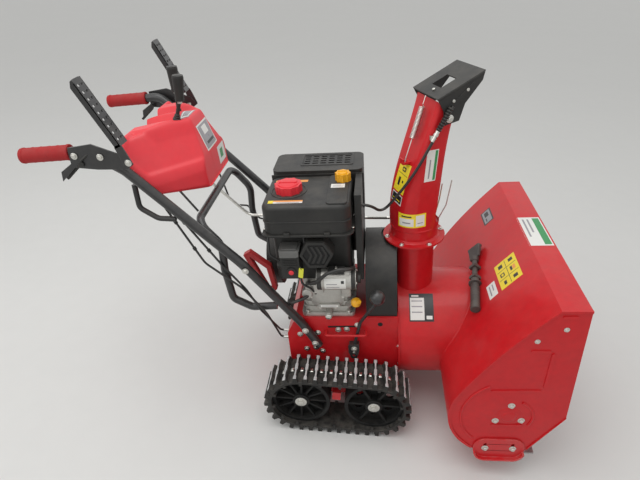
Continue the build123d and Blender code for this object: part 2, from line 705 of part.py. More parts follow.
# Impeller: hub and flat blades on the shaft that drives the gearbox
with BuildPart() as impeller:
    with BuildSketch(Plane.YZ.offset(IMPELLER_SHAFT_REAR)):
        with Locations((0, DRUM_Z)):
            Circle(SHAFT_R)
    extrude(amount=NOSE_REAR + SHAFT_IN_NOSE - IMPELLER_SHAFT_REAR)
    with BuildSketch(Plane.YZ.offset(IMPELLER_X)):
        with Locations((0, DRUM_Z)):
            Circle(IMPELLER_HUB_R)
    extrude(amount=IMPELLER_DEEP + 10)
    with BuildSketch(Plane.YZ.offset(IMPELLER_X)):
        with Locations((0, DRUM_Z)):
            with PolarLocations((IMPELLER_R + IMPELLER_HUB_R) / 2 - 2, IMPELLER_BLADES):
                Rectangle(IMPELLER_R - IMPELLER_HUB_R + 4, 4)
    extrude(amount=IMPELLER_DEEP)
impeller.part.label = "impeller"

# Skid shoes and scraper bar
with BuildPart() as skid_right:
    with BuildSketch(Plane.XZ.offset(HOUSING_HALF + SEAT_GAP)):
        with Locations((SKID_X, SKID_LOW + SKID_TALL / 2)):
            RectangleRounded(SKID_LONG, SKID_TALL, 34)
            with Locations((-SKID_SLOTS / 2, 6), (SKID_SLOTS / 2, 6)):
                SlotOverall(34, 9, rotation=90, mode=Mode.SUBTRACT)
    extrude(amount=SKID_THICK)
    with BuildSketch(Plane.XZ.offset(HOUSING_HALF + SEAT_GAP)):
        with Locations((SKID_X, SKID_LOW + SKID_TALL / 2)):
            RectangleRounded(SKID_LONG, SKID_TALL, 34)
            RectangleRounded(SKID_LONG - 2 * SKID_THICK, SKID_TALL - 2 * SKID_THICK, 29, mode=Mode.SUBTRACT)
            with Locations((0, SKID_TALL / 2 - 10)):
                Rectangle(SKID_LONG, SKID_TALL, mode=Mode.SUBTRACT)
    extrude(amount=SKID_RUNNER)
skid_right.part.label = "skid_right"

with BuildPart() as skid_left:
    add(mirrored(skid_right.part))
skid_left.part.label = "skid_left"

with BuildPart() as scraper:
    with BuildSketch(Plane.XZ):
        with BuildLine():
            Polyline((SCRAPER_X - 45, SCRAPER_Z), (SCRAPER_X, SCRAPER_Z + 4), (SCRAPER_X, SCRAPER_Z - 1),
                     (SCRAPER_X - 45, SCRAPER_Z - 5), close=True)
        make_face()
    extrude(amount=HOUSING_HALF - SIDE_THICK - SEAT_GAP, both=True)
scraper.part.label = "scraper_bar"

# Clean-out tool clipped across the back of the auger housing
TOOL_DIR = (Vector(TOOL_GRIP) - Vector(TOOL_PADDLE)).normalized()
TOOL_OUT = Vector(0, 1, 0).cross(TOOL_DIR).normalized()
TOOL_PLANE = Plane(origin=TOOL_PADDLE, x_dir=TOOL_OUT, z_dir=TOOL_DIR)

with BuildPart() as tool:
    with BuildSketch(TOOL_PLANE):
        RectangleRounded(TOOL_R * 2 - 2, 52, 6)
    extrude(amount=46, taper=8)
    for start, length, radius in TOOL_ROUNDS:
        with BuildSketch(TOOL_PLANE.offset(start)):
            Circle(radius)
        extrude(amount=length)
    for start in TOOL_CLIPS:
        with BuildSketch(TOOL_PLANE.offset(start)):
            with Locations((-13.2, 0)):
                Rectangle(26, 24, align=(Align.MIN, Align.CENTER))
        extrude(amount=10)
tool.part.label = "cleanout_tool"

# Handlebars with their rubber grips, one bent tube a side
HANDLE_ROUTE = [
    (58, -CHASSIS_HALF - TUBE_R - SEAT_GAP, 254),
    (10, -CHASSIS_HALF - TUBE_R - SEAT_GAP, 345),
    (-122, -CONSOLE_HALF - TUBE_R - SEAT_GAP, 603),
    (-372, -CONSOLE_HALF - TUBE_R - SEAT_GAP, 880),
    (-440, -HANDLE_Y, 940),
    (-GRIP_END + 5, -HANDLE_Y, 934),
]

with BuildPart() as handlebar_right:
    add(bar(HANDLE_ROUTE, [80, 120, 60, 50], TUBE_R))
handlebar_right.part.label = "handlebar_right"

with BuildPart() as handlebar_left:
    add(mirrored(handlebar_right.part))
handlebar_left.part.label = "handlebar_left"

GRIP_DIR = Vector(HANDLE_ROUTE[-1]) - Vector(HANDLE_ROUTE[-2])
GRIP_PLANE = Plane(origin=Vector(HANDLE_ROUTE[-1]) + GRIP_DIR.normalized() * 5, z_dir=-GRIP_DIR)

with BuildPart() as grip_right:
    with BuildSketch(GRIP_PLANE):
        Circle(GRIP_R)
    extrude(amount=GRIP_LENGTH)
    with BuildSketch(GRIP_PLANE.offset(5 - SEAT_GAP)):
        Circle(TUBE_R + SEAT_GAP)
    extrude(amount=GRIP_LENGTH, mode=Mode.SUBTRACT)
grip_right.part.label = "grip_right"

with BuildPart() as grip_left:
    add(mirrored(grip_right.part))
grip_left.part.label = "grip_left"

# Brace: hoop across the back with its legs bent forward to the lower handlebars
BRACE_ROUTE = [
    (-51.2, -177, 425),
    (-124, -180, 423),
    (-176, -182, 456),
    (-184, -184, 560),
    (-178, -184, 640),
    (-232, -184, 712),
    (-232, 184, 712),
    (-178, 184, 640),
    (-184, 184, 560),
    (-176, 182, 456),
    (-124, 180, 423),
    (-51.2, 177, 425),
]

with BuildPart() as brace:
    add(bar(BRACE_ROUTE, [30, 24, 60, 60, 36, 36, 60, 60, 24, 30], BRACE_R))
brace.part.label = "handle_brace"

# Console: moulded hood between the handlebars, open below, with a channel behind each lever
CONSOLE_SIDE = [(-385, 893), (-390, 944), (-292, 958), (-246, 950), (-214, 860), (-210, 768), (-335, 801)]
CONSOLE_END = [(-205, 700), (-205, 893), (-150, 962), (150, 962), (205, 893), (205, 700)]
CONSOLE_PLAN = [(-400, 205), (-328, 205), (-206, 96), (-206, -96), (-328, -205), (-400, -205)]
CHANNEL_R = 34.0
CHANNELS = (-40, 40)


def console_solid(inset):
    """The console's outer form, inset all round for its inside."""
    with BuildPart() as made:
        with BuildSketch(Plane.XZ):
            with BuildLine():
                FilletPolyline(*CONSOLE_SIDE, radius=16, close=True)
            make_face()
            offset(amount=-inset)
        extrude(amount=CONSOLE_HALF, both=True)
        with BuildSketch(Plane.XY.offset(700)):
            with BuildLine():
                FilletPolyline(*CONSOLE_PLAN, radius=30, close=True)
            make_face()
            offset(amount=-inset)
        extrude(amount=300, mode=Mode.INTERSECT)
        with BuildSketch(Plane.YZ.offset(-420)):
            with BuildLine():
                FilletPolyline(*CONSOLE_END, radius=20, close=True)
            make_face()
            offset(amount=-inset)
        extrude(amount=300, mode=Mode.INTERSECT)
        for channel_y in CHANNELS:
            with BuildSketch(Plane(origin=(-268, channel_y, 982), z_dir=(-125, 0, -48))):
                Circle(CHANNEL_R + inset)
            extrude(amount=170, mode=Mode.SUBTRACT)
    return made.part


with BuildPart() as console:
    add(console_solid(0))
    add(console_solid(SHEET), mode=Mode.SUBTRACT)
    with BuildSketch(Plane.XZ):
        with BuildLine():
            Polyline((-420, 872), (-385, 880), (-378, 862), (-332, 806), (-205, 773), (-150, 720),
                     (-420, 720), close=True)
        make_face()
    extrude(amount=CONSOLE_HALF + 5, both=True, mode=Mode.SUBTRACT)
console.part.label = "console"

# Clutch lever paddles and their brackets, with a small trigger under each grip
with BuildPart() as bracket_right:
    with BuildSketch(Plane.XZ.offset(HANDLE_Y + TUBE_R + SEAT_GAP)):
        with BuildLine():
            Polyline((-480, 955), (-420, 962), (-345, 930), (-328, 908), (-345, 896), (-420, 898),
                     (-478, 905), (-520, 870), (-516, 895), (-484, 915), close=True)
        make_face()
    extrude(amount=4)
bracket_right.part.label = "lever_bracket_right"

with BuildPart() as bracket_left:
    add(mirrored(bracket_right.part))
bracket_left.part.label = "lever_bracket_left"

CLUTCH_OUT = HANDLE_Y + TUBE_R + 2 * SEAT_GAP + 4
CLUTCH_WIDE = 38.0

with BuildPart() as clutch_right:
    with BuildSketch(Plane.XZ.offset(CLUTCH_OUT + SHEET - CLUTCH_WIDE)):
        with BuildLine():
            Polyline((-359, 949), (-345, 955), (-412, 1106), (-420, 1112), (-427, 1103), close=True)
        make_face()
    extrude(amount=CLUTCH_WIDE)
    with BuildSketch(Plane.XZ.offset(CLUTCH_OUT + 2 * SHEET - CLUTCH_WIDE)):
        with BuildLine():
            Polyline((-363.9, 940.3), (-344.4, 948.7), (-410.6, 1097.9), (-431.1, 1092.5), close=True)
        make_face()
    extrude(amount=CLUTCH_WIDE - 2 * SHEET, mode=Mode.SUBTRACT)
    with BuildSketch(Plane.XZ.offset(CLUTCH_OUT)):
        with BuildLine():
            Polyline((-350, 905), (-326, 905), (-349, 964), (-363, 958), close=True)
        make_face()
    extrude(amount=SHEET)
clutch_right.part.label = "clutch_lever_right"

with BuildPart() as clutch_left:
    add(mirrored(clutch_right.part))
clutch_left.part.label = "clutch_lever_left"

# Gear and chute levers through the console
# foot seated in its channel, foot of the knob, top of the knob
LEVERS = (
    ((-285.8, -40, 947.4), (-266, -40, 1000), (-258, -40, 1062)),
    ((-308.8, 40, 938.7), (-304, 40, 1006), (-301, 40, 1069)),
)

with BuildPart() as shift_levers:
    for foot, neck, top in LEVERS:
        with Locations(foot):
            Sphere(8)
        add(bar([foot, neck], [], 5))
        knob_dir = Vector(top) - Vector(neck)
        with BuildSketch(Plane(origin=neck, z_dir=knob_dir)):
            Circle(11)
        with BuildSketch(Plane(origin=top, z_dir=knob_dir)):
            Circle(14)
        loft()
shift_levers.part.label = "shift_levers"

# Chute crank rod along the far side of the engine
CRANK_ROUTE = [
    (-322, 165, 934),
    (-322, 165, 690),
    (-192, 165, 545),
    (215, 165, 524),
    (272, 133, 540),
    (CHUTE_X - 35 - SEAT_GAP, 133, 540),
]

with BuildPart() as crank_rod:
    add(bar(CRANK_ROUTE, [30, 40, 40, 12], 5))
crank_rod.part.label = "crank_rod"

# Height lever with its ball knob, and the red guide rod it runs in
with BuildPart() as height_lever:
    add(bar([(167, -156, 258), (188, -156, 345), (236, -186, 442)], [30], 5))
    with BuildSketch(Plane.XZ.offset(CHASSIS_HALF + SEAT_GAP)):
        with Locations((166, 248)):
            Rectangle(30, 26)
    extrude(amount=18)
    with Locations((240, -190, 462)):
        Sphere(22)
height_lever.part.label = "height_lever"

with BuildPart() as lever_guide:
    add(bar([(82, -145.3, 300), (82, -166, 300), (204, -166, 300), (204, -145.3, 300)], [6, 6], 4))
lever_guide.part.label = "lever_guide"

# Chute: flanged tube that opens into a curved channel
THROW_TURN = math.radians(THROW)
THROW_DIR = Vector(math.cos(THROW_TURN), math.sin(THROW_TURN), 0)
CHUTE_PLANE = Plane(origin=(CHUTE_X, 0, 0), x_dir=THROW_DIR, z_dir=(THROW_DIR.Y, -THROW_DIR.X, 0))


def chute_section(row, inset, forward):
    """One level section of the channel, inset for its inside and pushed out of its open front."""
    height, back, front, half, corner = row
    centre = (back + front + forward) / 2
    with BuildSketch(Plane(origin=(CHUTE_X, 0, height), x_dir=THROW_DIR, z_dir=(0, 0, 1))) as level:
        with Locations((centre, 0)):
            RectangleRounded(front + forward - back - 2 * inset, 2 * (half - inset), corner - inset)
    return level.sketch


# height, back, front, half width, corner radius
CHUTE_ROWS = (
    (600, -68, 68, 68, 60),
    (720, -50, 64, 66, 34),
    (840, -10, 66, 64, 18),
    (970, 31, 92, 62, 10),
)

with BuildPart() as channel:
    for row in CHUTE_ROWS:
        add(chute_section(row, 0, 0))
    loft()

with BuildPart() as channel_hollow:
    for row in CHUTE_ROWS:
        add(chute_section(row, SHEET, 0 if row is CHUTE_ROWS[0] else 24))
    loft()

with BuildPart() as chute:
    add(channel.part)
    with BuildSketch(Plane.XY.offset(RING_Z)):
        with Locations((CHUTE_X, 0)):
            Circle(CHUTE_R)
    extrude(amount=CHUTE_ROWS[0][0] - RING_Z)
    with BuildSketch(Plane.XY.offset(RING_Z)):
        with Locations((CHUTE_X, 0)):
            Circle(RING_R)
    extrude(amount=RING_THICK)
    add(channel_hollow.part, mode=Mode.SUBTRACT)
    with BuildSketch(Plane.XY.offset(RING_Z - 1)):
        with Locations((CHUTE_X, 0)):
            Circle(CHUTE_R - SHEET)
    extrude(amount=CHUTE_ROWS[0][0] - RING_Z + 1, mode=Mode.SUBTRACT)
    with BuildSketch(CHUTE_PLANE):
        with BuildLine():
            Polyline((8, 978), (8, 1050), (200, 1050), (200, 834), close=True)
        make_face()
    extrude(amount=100, both=True, mode=Mode.SUBTRACT)
    with BuildSketch(CHUTE_PLANE):
        with Locations((PIVOT_OUT, PIVOT_Z)):
            Circle(PIVOT_R + RUN_GAP)
    extrude(amount=100, both=True, mode=Mode.SUBTRACT)
    with BuildSketch(CHUTE_PLANE.offset(4)):
        with Locations((-35, 797)):
            Rectangle(26, 6)
    extrude(amount=20)
chute.part.label = "chute"

# Deflector: hood hinged on two bolts outside the channel
HOOD_HALF = CHUTE_ROWS[-1][3] + HOOD_GAP
HOOD_SIDE = [(22, 972), (150, 1027), (144, 1003), (99, 951), (85, 909), (46, 902), (40, 940)]
HOOD_RECESS = (76, 43, 48)     # middle of the opening in its roof, its length and width

with BuildPart() as deflector:
    with BuildSketch(CHUTE_PLANE.offset(HOOD_HALF)):
        with BuildLine():
            Polyline(*HOOD_SIDE, close=True)
        make_face()
    extrude(amount=SHEET)
    with BuildSketch(CHUTE_PLANE.offset(-HOOD_HALF)):
        with BuildLine():
            Polyline(*HOOD_SIDE, close=True)
        make_face()
    extrude(amount=-SHEET)
    with BuildSketch(CHUTE_PLANE):
        with BuildLine():
            Polyline((22, 972), (150, 1027), (149, 1024), (23, 969), close=True)
        make_face()
    extrude(amount=HOOD_HALF, both=True)
    with BuildSketch(CHUTE_PLANE):
        with Locations((HOOD_RECESS[0], HOOD_SIDE[0][1] + 20)):
            Rectangle(HOOD_RECESS[1], 80)
    extrude(amount=HOOD_RECESS[2] / 2, both=True, mode=Mode.SUBTRACT)
    for side in (-1, 1):
        with BuildSketch(CHUTE_PLANE.offset(side * HOOD_HALF)):
            with Locations((PIVOT_OUT, PIVOT_Z)):
                Circle(PIVOT_R)
        extrude(amount=-side * 10)
deflector.part.label = "deflector"


def on_chute(out, side, height):
    """Point given out from the chute's axis, to its left and up."""
    return (
        CHUTE_X + out * THROW_DIR.X - side * THROW_DIR.Y,
        out * THROW_DIR.Y + side * THROW_DIR.X,
        height,
    )


# Spring between the channel's back and the deflector
SPRING_R = 5.0

with BuildPart() as spring:
    add(bar([on_chute(*SPRING_LOW), on_chute(*SPRING_TOP)], [], SPRING_R))
spring.part.label = "deflector_spring"

# Deflector cable: down the channel's side, then a free loop to the engine cowl
CHUTE_CABLE = [
    on_chute(64, -HOOD_HALF - SHEET - CABLE_R - SEAT_GAP, 950),
    on_chute(10, -76, 868),
    on_chute(-30, -68, 790),
    on_chute(-72, -36, 710),
    (256, -48, 656),
    (224, -96, 706),
    (COWL_FRONT - 2 + SEAT_GAP, -96, 706),
]

with BuildPart() as chute_cable:
    add(bar(CHUTE_CABLE, [80, 80, 60, 30, 14], CABLE_R))
chute_cable.part.label = "chute_cable"

# Cables under the right handlebar, and the thick conduit that loops below the console
CONDUIT = [(-362, -212.3, 838), (-362, -218, 776), (-318, -220, 745), (-271.7, -220, 741.5)]
CLUTCH_CABLES = (
    (
        [(-334, -190, 822), (-228, -204, 594), (-136, -206, 510), (-80, -199, 415),
         (-62, -140, 272), (-40.4, -140, 272)],
        [60, 60, 40, 12],
    ),
    (
        [(-334, -183.6, 824), (-182, -199, 581), (-128, -199, 500), (-96, -198, 425),
         (-66, -120, 282), (-40.4, -120, 282)],
        [60, 60, 40, 12],
    ),
    ([(-276, -150, 790), (-237, -150, 727)], []),
    (
        [(-336, 190, 816), (-279, 198, 680), (-262, 198, 590), (-237, 200, 566), (-205, 206, 560),
         (-165, 205, 501.5), (-104.6, 203.7, 532.3)],
        [60, 20, 10, 14, 20],
    ),
)

with BuildPart() as conduit:
    add(bar(CONDUIT, [20, 30], CONDUIT_R))
conduit.part.label = "cable_conduit"

with BuildPart() as cables:
    for points, radii in CLUTCH_CABLES:
        add(bar(points, radii, WIRE_R))
cables.part.label = "control_cables"

PIECES = (
    (track_right, False),
    (track_left, False),
    (wheels_right, False),
    (wheels_left, False),
    (beam_right, False),
    (beam_left, False),
    (drive_axle, False),
    (cross_tie, False),
    (chassis, True),
    (engine_plate, True),
    (transmission, True),
    (engine_block, True),
    (fuel_tank, True),
    (fuel_cap, True),
    (engine_cowl, True),
    (oil_cap, True),
    (blower_housing, True),
    (recoil_starter, True),
    (recoil_handle, True),
    (starter_motor, True),
    (heater_box, True),
    (muffler_guard, True),
    (belt_cover, True),
    (auger_housing, True),
    (side_right, True),
    (side_left, True),
    (impeller_housing, True),
    (gearbox, True),
    (auger, True),
    (impeller, True),
    (skid_right, True),
    (skid_left, True),
    (scraper, True),
    (tool, True),
    (handlebar_right, True),
    (handlebar_left, True),
    (grip_right, True),
    (grip_left, True),
    (brace, True),
    (console, True),
    (bracket_right, True),
    (bracket_left, True),
    (clutch_right, True),
    (clutch_left, True),
    (shift_levers, True),
    (crank_rod, True),
    (height_lever, True),
    (lever_guide, True),
    (chute, True),
    (deflector, True),
    (spring, True),
    (chute_cable, True),
    (conduit, True),
    (cables, True),
)

LEVEL = Location((AXLE_X, 0, 0))
RAISED = Location((AXLE_X, 0, AXLE_Z)) * Location((0, 0, 0), (0, -RAISE, 0)) * Location((0, 0, -AXLE_Z))

for piece, tipped in PIECES:
    placed = piece.part.moved(RAISED if tipped else LEVEL)
    placed.label = piece.part.label
    export_step(placed, f"parts/{placed.label}.step")
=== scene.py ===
"""Looks of a tracked snow blower, dressed over its solid parts.

Sizes are in millimetres in the machine's level frame: X forward from the drive axle, Y to the
machine's left, Z up from the floor. What the chassis carries is tipped nose-up about the axle.
"""

import functools
import json
import logging
import math
from dataclasses import dataclass
from enum import Enum
from typing import Sequence

import bmesh
import bpy
from mathutils import Euler, Matrix, Vector
from mathutils.bvhtree import BVHTree

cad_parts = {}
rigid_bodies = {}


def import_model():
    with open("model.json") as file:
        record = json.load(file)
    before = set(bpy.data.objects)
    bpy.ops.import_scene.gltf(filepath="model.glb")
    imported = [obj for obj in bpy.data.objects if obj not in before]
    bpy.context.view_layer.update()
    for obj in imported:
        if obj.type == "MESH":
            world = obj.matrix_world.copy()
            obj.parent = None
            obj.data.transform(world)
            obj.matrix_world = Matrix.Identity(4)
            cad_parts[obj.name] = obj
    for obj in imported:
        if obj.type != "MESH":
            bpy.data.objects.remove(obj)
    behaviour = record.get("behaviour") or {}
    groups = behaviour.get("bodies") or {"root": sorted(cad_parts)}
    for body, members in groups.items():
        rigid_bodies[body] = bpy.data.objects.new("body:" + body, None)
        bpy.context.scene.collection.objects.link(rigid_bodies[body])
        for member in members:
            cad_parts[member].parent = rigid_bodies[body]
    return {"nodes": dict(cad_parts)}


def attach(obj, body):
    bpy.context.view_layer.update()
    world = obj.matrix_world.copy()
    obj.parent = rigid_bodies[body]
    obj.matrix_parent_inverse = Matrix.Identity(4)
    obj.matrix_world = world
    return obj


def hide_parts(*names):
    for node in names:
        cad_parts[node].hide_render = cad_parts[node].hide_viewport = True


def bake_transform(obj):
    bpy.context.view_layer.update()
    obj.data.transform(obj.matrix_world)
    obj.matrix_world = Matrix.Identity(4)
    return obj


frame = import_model()
log = logging.getLogger("snow_blower")

Point = Sequence[float]
Colour = tuple[float, float, float]
Outline = list[tuple[float, float]]
Spots = tuple[tuple[float, float], ...]
Slope = tuple[float, float, float]

MM = 0.001
RAISE = math.radians(4.9)
AXLE_X = -23.2
AXLE_Z = 115.0
CHUTE_X = 350.0
THROW = math.radians(22.0)
UP = Vector((0, 0, 1))
RIGHT = Vector((0, -1, 0))
AHEAD = Vector((1, 0, 0))
BACK = -AHEAD

CORNER_SHARE = 0.48
BEVEL_ANGLE = math.radians(38)
WELD_GAP = 0.02 * MM
ROUTE_STEPS = 6
HEAD_SUNK = 0.4
WASHER = ((0, 1.5), (1.6, 1.5), (1.9, 1.4))
BOLT_HEAD = ((0, 1), (0.62, 1), (0.78, 0.82))


class Place(Enum):
    """The frame that a piece is drawn in."""

    TRACK = "track"
    CHASSIS = "chassis"
    CHUTE = "chute"

    @property
    def matrix(self) -> Matrix:
        """From this frame's millimetres to the row frame's metres.

        Returns:
            The matrix.
        """
        if self is Place.TRACK:
            return Matrix.Scale(MM, 4) @ Matrix.Translation((AXLE_X, 0, 0))
        tipped = (
            Matrix.Scale(MM, 4)
            @ Matrix.Translation((AXLE_X, 0, AXLE_Z))
            @ Matrix.Rotation(-RAISE, 4, "Y")
            @ Matrix.Translation((0, 0, -AXLE_Z))
        )
        if self is Place.CHASSIS:
            return tipped
        return tipped @ Matrix.Translation((CHUTE_X, 0, 0)) @ Matrix.Rotation(THROW, 4, "Z")


class Body(Enum):
    """The moving bodies that pieces are added to."""

    CHASSIS = "chassis_body"
    TRACK = "track_unit"
    CHUTE = "chute_body"
    DEFLECTOR = "deflector_body"


# Effects shared by the finishes


class Wiring:
    """Adds and joins shader nodes in one tree."""

    def __init__(self, tree: bpy.types.NodeTree) -> None:
        """Keep the tree that nodes are added to."""
        self.tree = tree

    def add(self, kind: str, inputs: dict | None = None, **settings: object) -> bpy.types.Node:
        """Add a node.

        Args:
            kind: The node's type name.
            inputs: Values or sockets for its inputs, by name or number.
            settings: Properties of the node.

        Returns:
            The new node.
        """
        node = self.tree.nodes.new(kind)
        for name, value in settings.items():
            setattr(node, name, value)
        for name, value in (inputs or {}).items():
            if isinstance(value, bpy.types.NodeSocket):
                self.tree.links.new(value, node.inputs[name])
            else:
                node.inputs[name].default_value = value
        return node

    def calc(self, how: str, first: object, second: object, clamp: bool = True) -> bpy.types.NodeSocket:
        """Join two values with a Math node of the given operation."""
        return self.add("ShaderNodeMath", {0: first, 1: second}, operation=how, use_clamp=clamp).outputs[0]

    def product(self, *values: object) -> bpy.types.NodeSocket:
        """Multiply values, clamped at each step."""
        return functools.reduce(lambda first, second: self.calc("MULTIPLY", first, second), values)

    def use(self, group: bpy.types.NodeTree, **values: float) -> bpy.types.NodeSocket:
        """Place a shared effect with its own values and return its output."""
        return self.add("ShaderNodeGroup", values, node_tree=group).outputs[0]

    def spread(self, value: object, low: float, high: float, to_low: float = 0.0,
               to_high: float = 1.0) -> bpy.types.NodeSocket:
        """Map a value from one range to another, clamped."""
        inputs = {"Value": value, "From Min": low, "From Max": high, "To Min": to_low, "To Max": to_high}
        return self.add("ShaderNodeMapRange", inputs).outputs["Result"]

    def mix(self, share: object, first: object, second: object) -> bpy.types.NodeSocket:
        """Mix two colours by a share."""
        ends = [(*value, 1) if isinstance(value, tuple) else value for value in (first, second)]
        return self.add("ShaderNodeMix", {0: share, 6: ends[0], 7: ends[1]}, data_type="RGBA").outputs[2]

    def noise(self, scale: object, detail: float, where: object, rough: float = 0.55) -> bpy.types.NodeSocket:
        """Add a noise texture and return its value."""
        inputs = {"Vector": where, "Scale": scale, "Detail": detail, "Roughness": rough}
        return self.add("ShaderNodeTexNoise", inputs).outputs["Fac"]

    def surface_point(self, stretch: Point = (1, 1, 1)) -> bpy.types.NodeSocket:
        """The point on the piece itself, stretched along its axes.

        Args:
            stretch: Scale along each axis.

        Returns:
            The socket that gives it.
        """
        where = self.add("ShaderNodeTexCoord").outputs["Object"]
        if tuple(stretch) == (1, 1, 1):
            return where
        return self.add("ShaderNodeMapping", {"Vector": where, "Scale": stretch}).outputs[0]


def effect(name: str, inputs: dict[str, float], output: str) -> tuple[bpy.types.NodeTree, Wiring, dict]:
    """Start a shader node group.

    Args:
        name: The group's name.
        inputs: Its inputs and their usual values.
        output: The name of its one output value.

    Returns:
        The group, its wiring, and its input sockets with the output node under "out".
    """
    tree = bpy.data.node_groups.new(name, "ShaderNodeTree")
    for title, usual in inputs.items():
        socket = tree.interface.new_socket(title, in_out="INPUT", socket_type="NodeSocketFloat")
        socket.default_value = usual
    tree.interface.new_socket(output, in_out="OUTPUT", socket_type="NodeSocketFloat")
    wires = Wiring(tree)
    given = wires.add("NodeGroupInput")
    sockets: dict = {title: given.outputs[title] for title in inputs}
    sockets["out"] = wires.add("NodeGroupOutput").inputs[output]
    return tree, wires, sockets


@functools.cache
def uneven_tone() -> bpy.types.NodeTree:
    """Soft patches, as in any large painted or moulded surface.

    Returns:
        The shader node group.
    """
    tree, wires, given = effect("uneven_tone", {"Scale": 12.0, "Contrast": 1.0}, "Tone")
    where = wires.surface_point()
    fine_scale = wires.calc("MULTIPLY", given["Scale"], 9.0, clamp=False)
    broad, fine = wires.noise(given["Scale"], 3, where), wires.noise(fine_scale, 4, where)
    centred = wires.calc("ADD", wires.calc("ADD", broad, fine, clamp=False), -1.0, clamp=False)
    swing = wires.calc("MULTIPLY", centred, given["Contrast"], clamp=False)
    tree.links.new(wires.calc("ADD", swing, 0.5), given["out"])
    return tree


@functools.cache
def fine_grain() -> bpy.types.NodeTree:
    """Height of a fine even grain, from orange peel to moulded leather.

    Returns:
        The shader node group.
    """
    tree, wires, given = effect("fine_grain", {"Scale": 700.0, "Cells": 0.0}, "Height")
    where = wires.surface_point()
    soft = wires.noise(given["Scale"], 2, where, 0.5)
    cells = wires.add("ShaderNodeTexVoronoi", {"Vector": where, "Scale": given["Scale"]}).outputs["Distance"]
    soft_part = wires.product(soft, wires.calc("SUBTRACT", 1.0, given["Cells"]))
    cell_part = wires.product(cells, given["Cells"])
    tree.links.new(wires.calc("ADD", soft_part, cell_part), given["out"])
    return tree


@functools.cache
def settled_dust() -> bpy.types.NodeTree:
    """Mask of dust that lies on what faces up and gathers in patches.

    Returns:
        The shader node group.
    """
    tree, wires, given = effect("settled_dust", {"Amount": 0.3, "Scale": 20.0}, "Mask")
    normal = wires.add("ShaderNodeNewGeometry").outputs["Normal"]
    facing = wires.add("ShaderNodeSeparateXYZ", {0: normal}).outputs["Z"]
    lying = wires.spread(facing, 0.1, 0.9, 0.25, 1.0)
    patches = wires.spread(wires.noise(given["Scale"], 6, wires.surface_point(), 0.65), 0.38, 0.68)
    tree.links.new(wires.product(lying, patches, given["Amount"]), given["out"])
    return tree


@functools.cache
def edge_wear() -> bpy.types.NodeTree:
    """Mask of rubbed edges, broken up by noise.

    Returns:
        The shader node group.
    """
    tree, wires, given = effect("edge_wear", {"Amount": 0.5, "Reach": 0.002, "Scale": 90.0}, "Mask")
    rounded_normal = wires.add("ShaderNodeBevel", {"Radius": given["Reach"]}, samples=4).outputs[0]
    true_normal = wires.add("ShaderNodeNewGeometry").outputs["True Normal"]
    along = wires.add("ShaderNodeVectorMath", {0: rounded_normal, 1: true_normal}, operation="DOT_PRODUCT")
    edge = wires.spread(along.outputs["Value"], 0.97, 0.8)
    broken = wires.spread(wires.noise(given["Scale"], 5, wires.surface_point(), 0.6), 0.42, 0.6)
    tree.links.new(wires.product(edge, broken, given["Amount"]), given["out"])
    return tree


@functools.cache
def scuffs() -> bpy.types.NodeTree:
    """Mask of short thin rub marks.

    Returns:
        The shader node group.
    """
    tree, wires, given = effect("scuffs", {"Amount": 0.3, "Scale": 14.0}, "Mask")
    drawn = wires.noise(given["Scale"], 8, wires.surface_point((0.6, 1.0, 4.0)), 0.7)
    tree.links.new(wires.product(wires.spread(drawn, 0.66, 0.74), given["Amount"]), given["out"])
    return tree


DUST: Colour = (0.36, 0.33, 0.28)
DUST_ROUGHENS = 0.35
COAT_ROUGHNESS = 0.12
TONE_CONTRAST = 1.4


@dataclass(frozen=True)
class Finish:
    """A finish of the machine: colour, gloss, grain, dust and wear."""

    name: str
    slot: str
    colour: Colour
    roughness: float = 0.5
    metallic: float = 0.0
    coat: float = 0.0
    tone: float = 0.12
    tone_scale: float = 9.0
    grain: float = 0.0
    grain_scale: float = 700.0
    cells: float = 0.0
    dust: float = 0.0
    dust_scale: float = 20.0
    wear: float = 0.0
    worn: Colour = (0.35, 0.34, 0.33)
    scuffed: float = 0.0
    specular: float = 0.5

    def material(self) -> bpy.types.Material:
        """Build the finish's material, once.

        Returns:
            The material.
        """
        found = bpy.data.materials.get(self.name)
        if found:
            return found
        made = bpy.data.materials.new(self.name)
        made.use_nodes = True
        made.node_tree.nodes.clear()
        wires = Wiring(made.node_tree)
        tone = wires.use(uneven_tone(), Scale=self.tone_scale, Contrast=TONE_CONTRAST)
        dark = tuple(part * (1 - self.tone) for part in self.colour)
        light = tuple(min(1.0, part * (1 + self.tone)) for part in self.colour)
        colour = wires.mix(tone, dark, light)
        rough = wires.spread(tone, 0, 1, self.roughness - 0.05, self.roughness + 0.07)
        for marks, amount in ((scuffs, self.scuffed), (edge_wear, self.wear)):
            if amount:
                colour = wires.mix(wires.use(marks(), Amount=amount), colour, self.worn)
        if self.dust:
            mask = wires.use(settled_dust(), Amount=self.dust, Scale=self.dust_scale)
            colour = wires.mix(mask, colour, DUST)
            rough = wires.calc("ADD", rough, wires.product(mask, DUST_ROUGHENS))
        inputs = {
            "Base Color": colour,
            "Roughness": rough,
            "Metallic": self.metallic,
            "Specular IOR Level": self.specular,
            "Coat Weight": self.coat,
            "Coat Roughness": COAT_ROUGHNESS,
        }
        shader = wires.add("ShaderNodeBsdfPrincipled", inputs)
        if self.grain:
            height = wires.use(fine_grain(), Scale=self.grain_scale, Cells=self.cells)
            relief = {"Height": height, "Strength": 1.0, "Distance": self.grain * MM}
            bump = wires.add("ShaderNodeBump", relief)
            made.node_tree.links.new(bump.outputs[0], shader.inputs["Normal"])
        wires.add("ShaderNodeOutputMaterial", {"Surface": shader.outputs[0]})
        return made


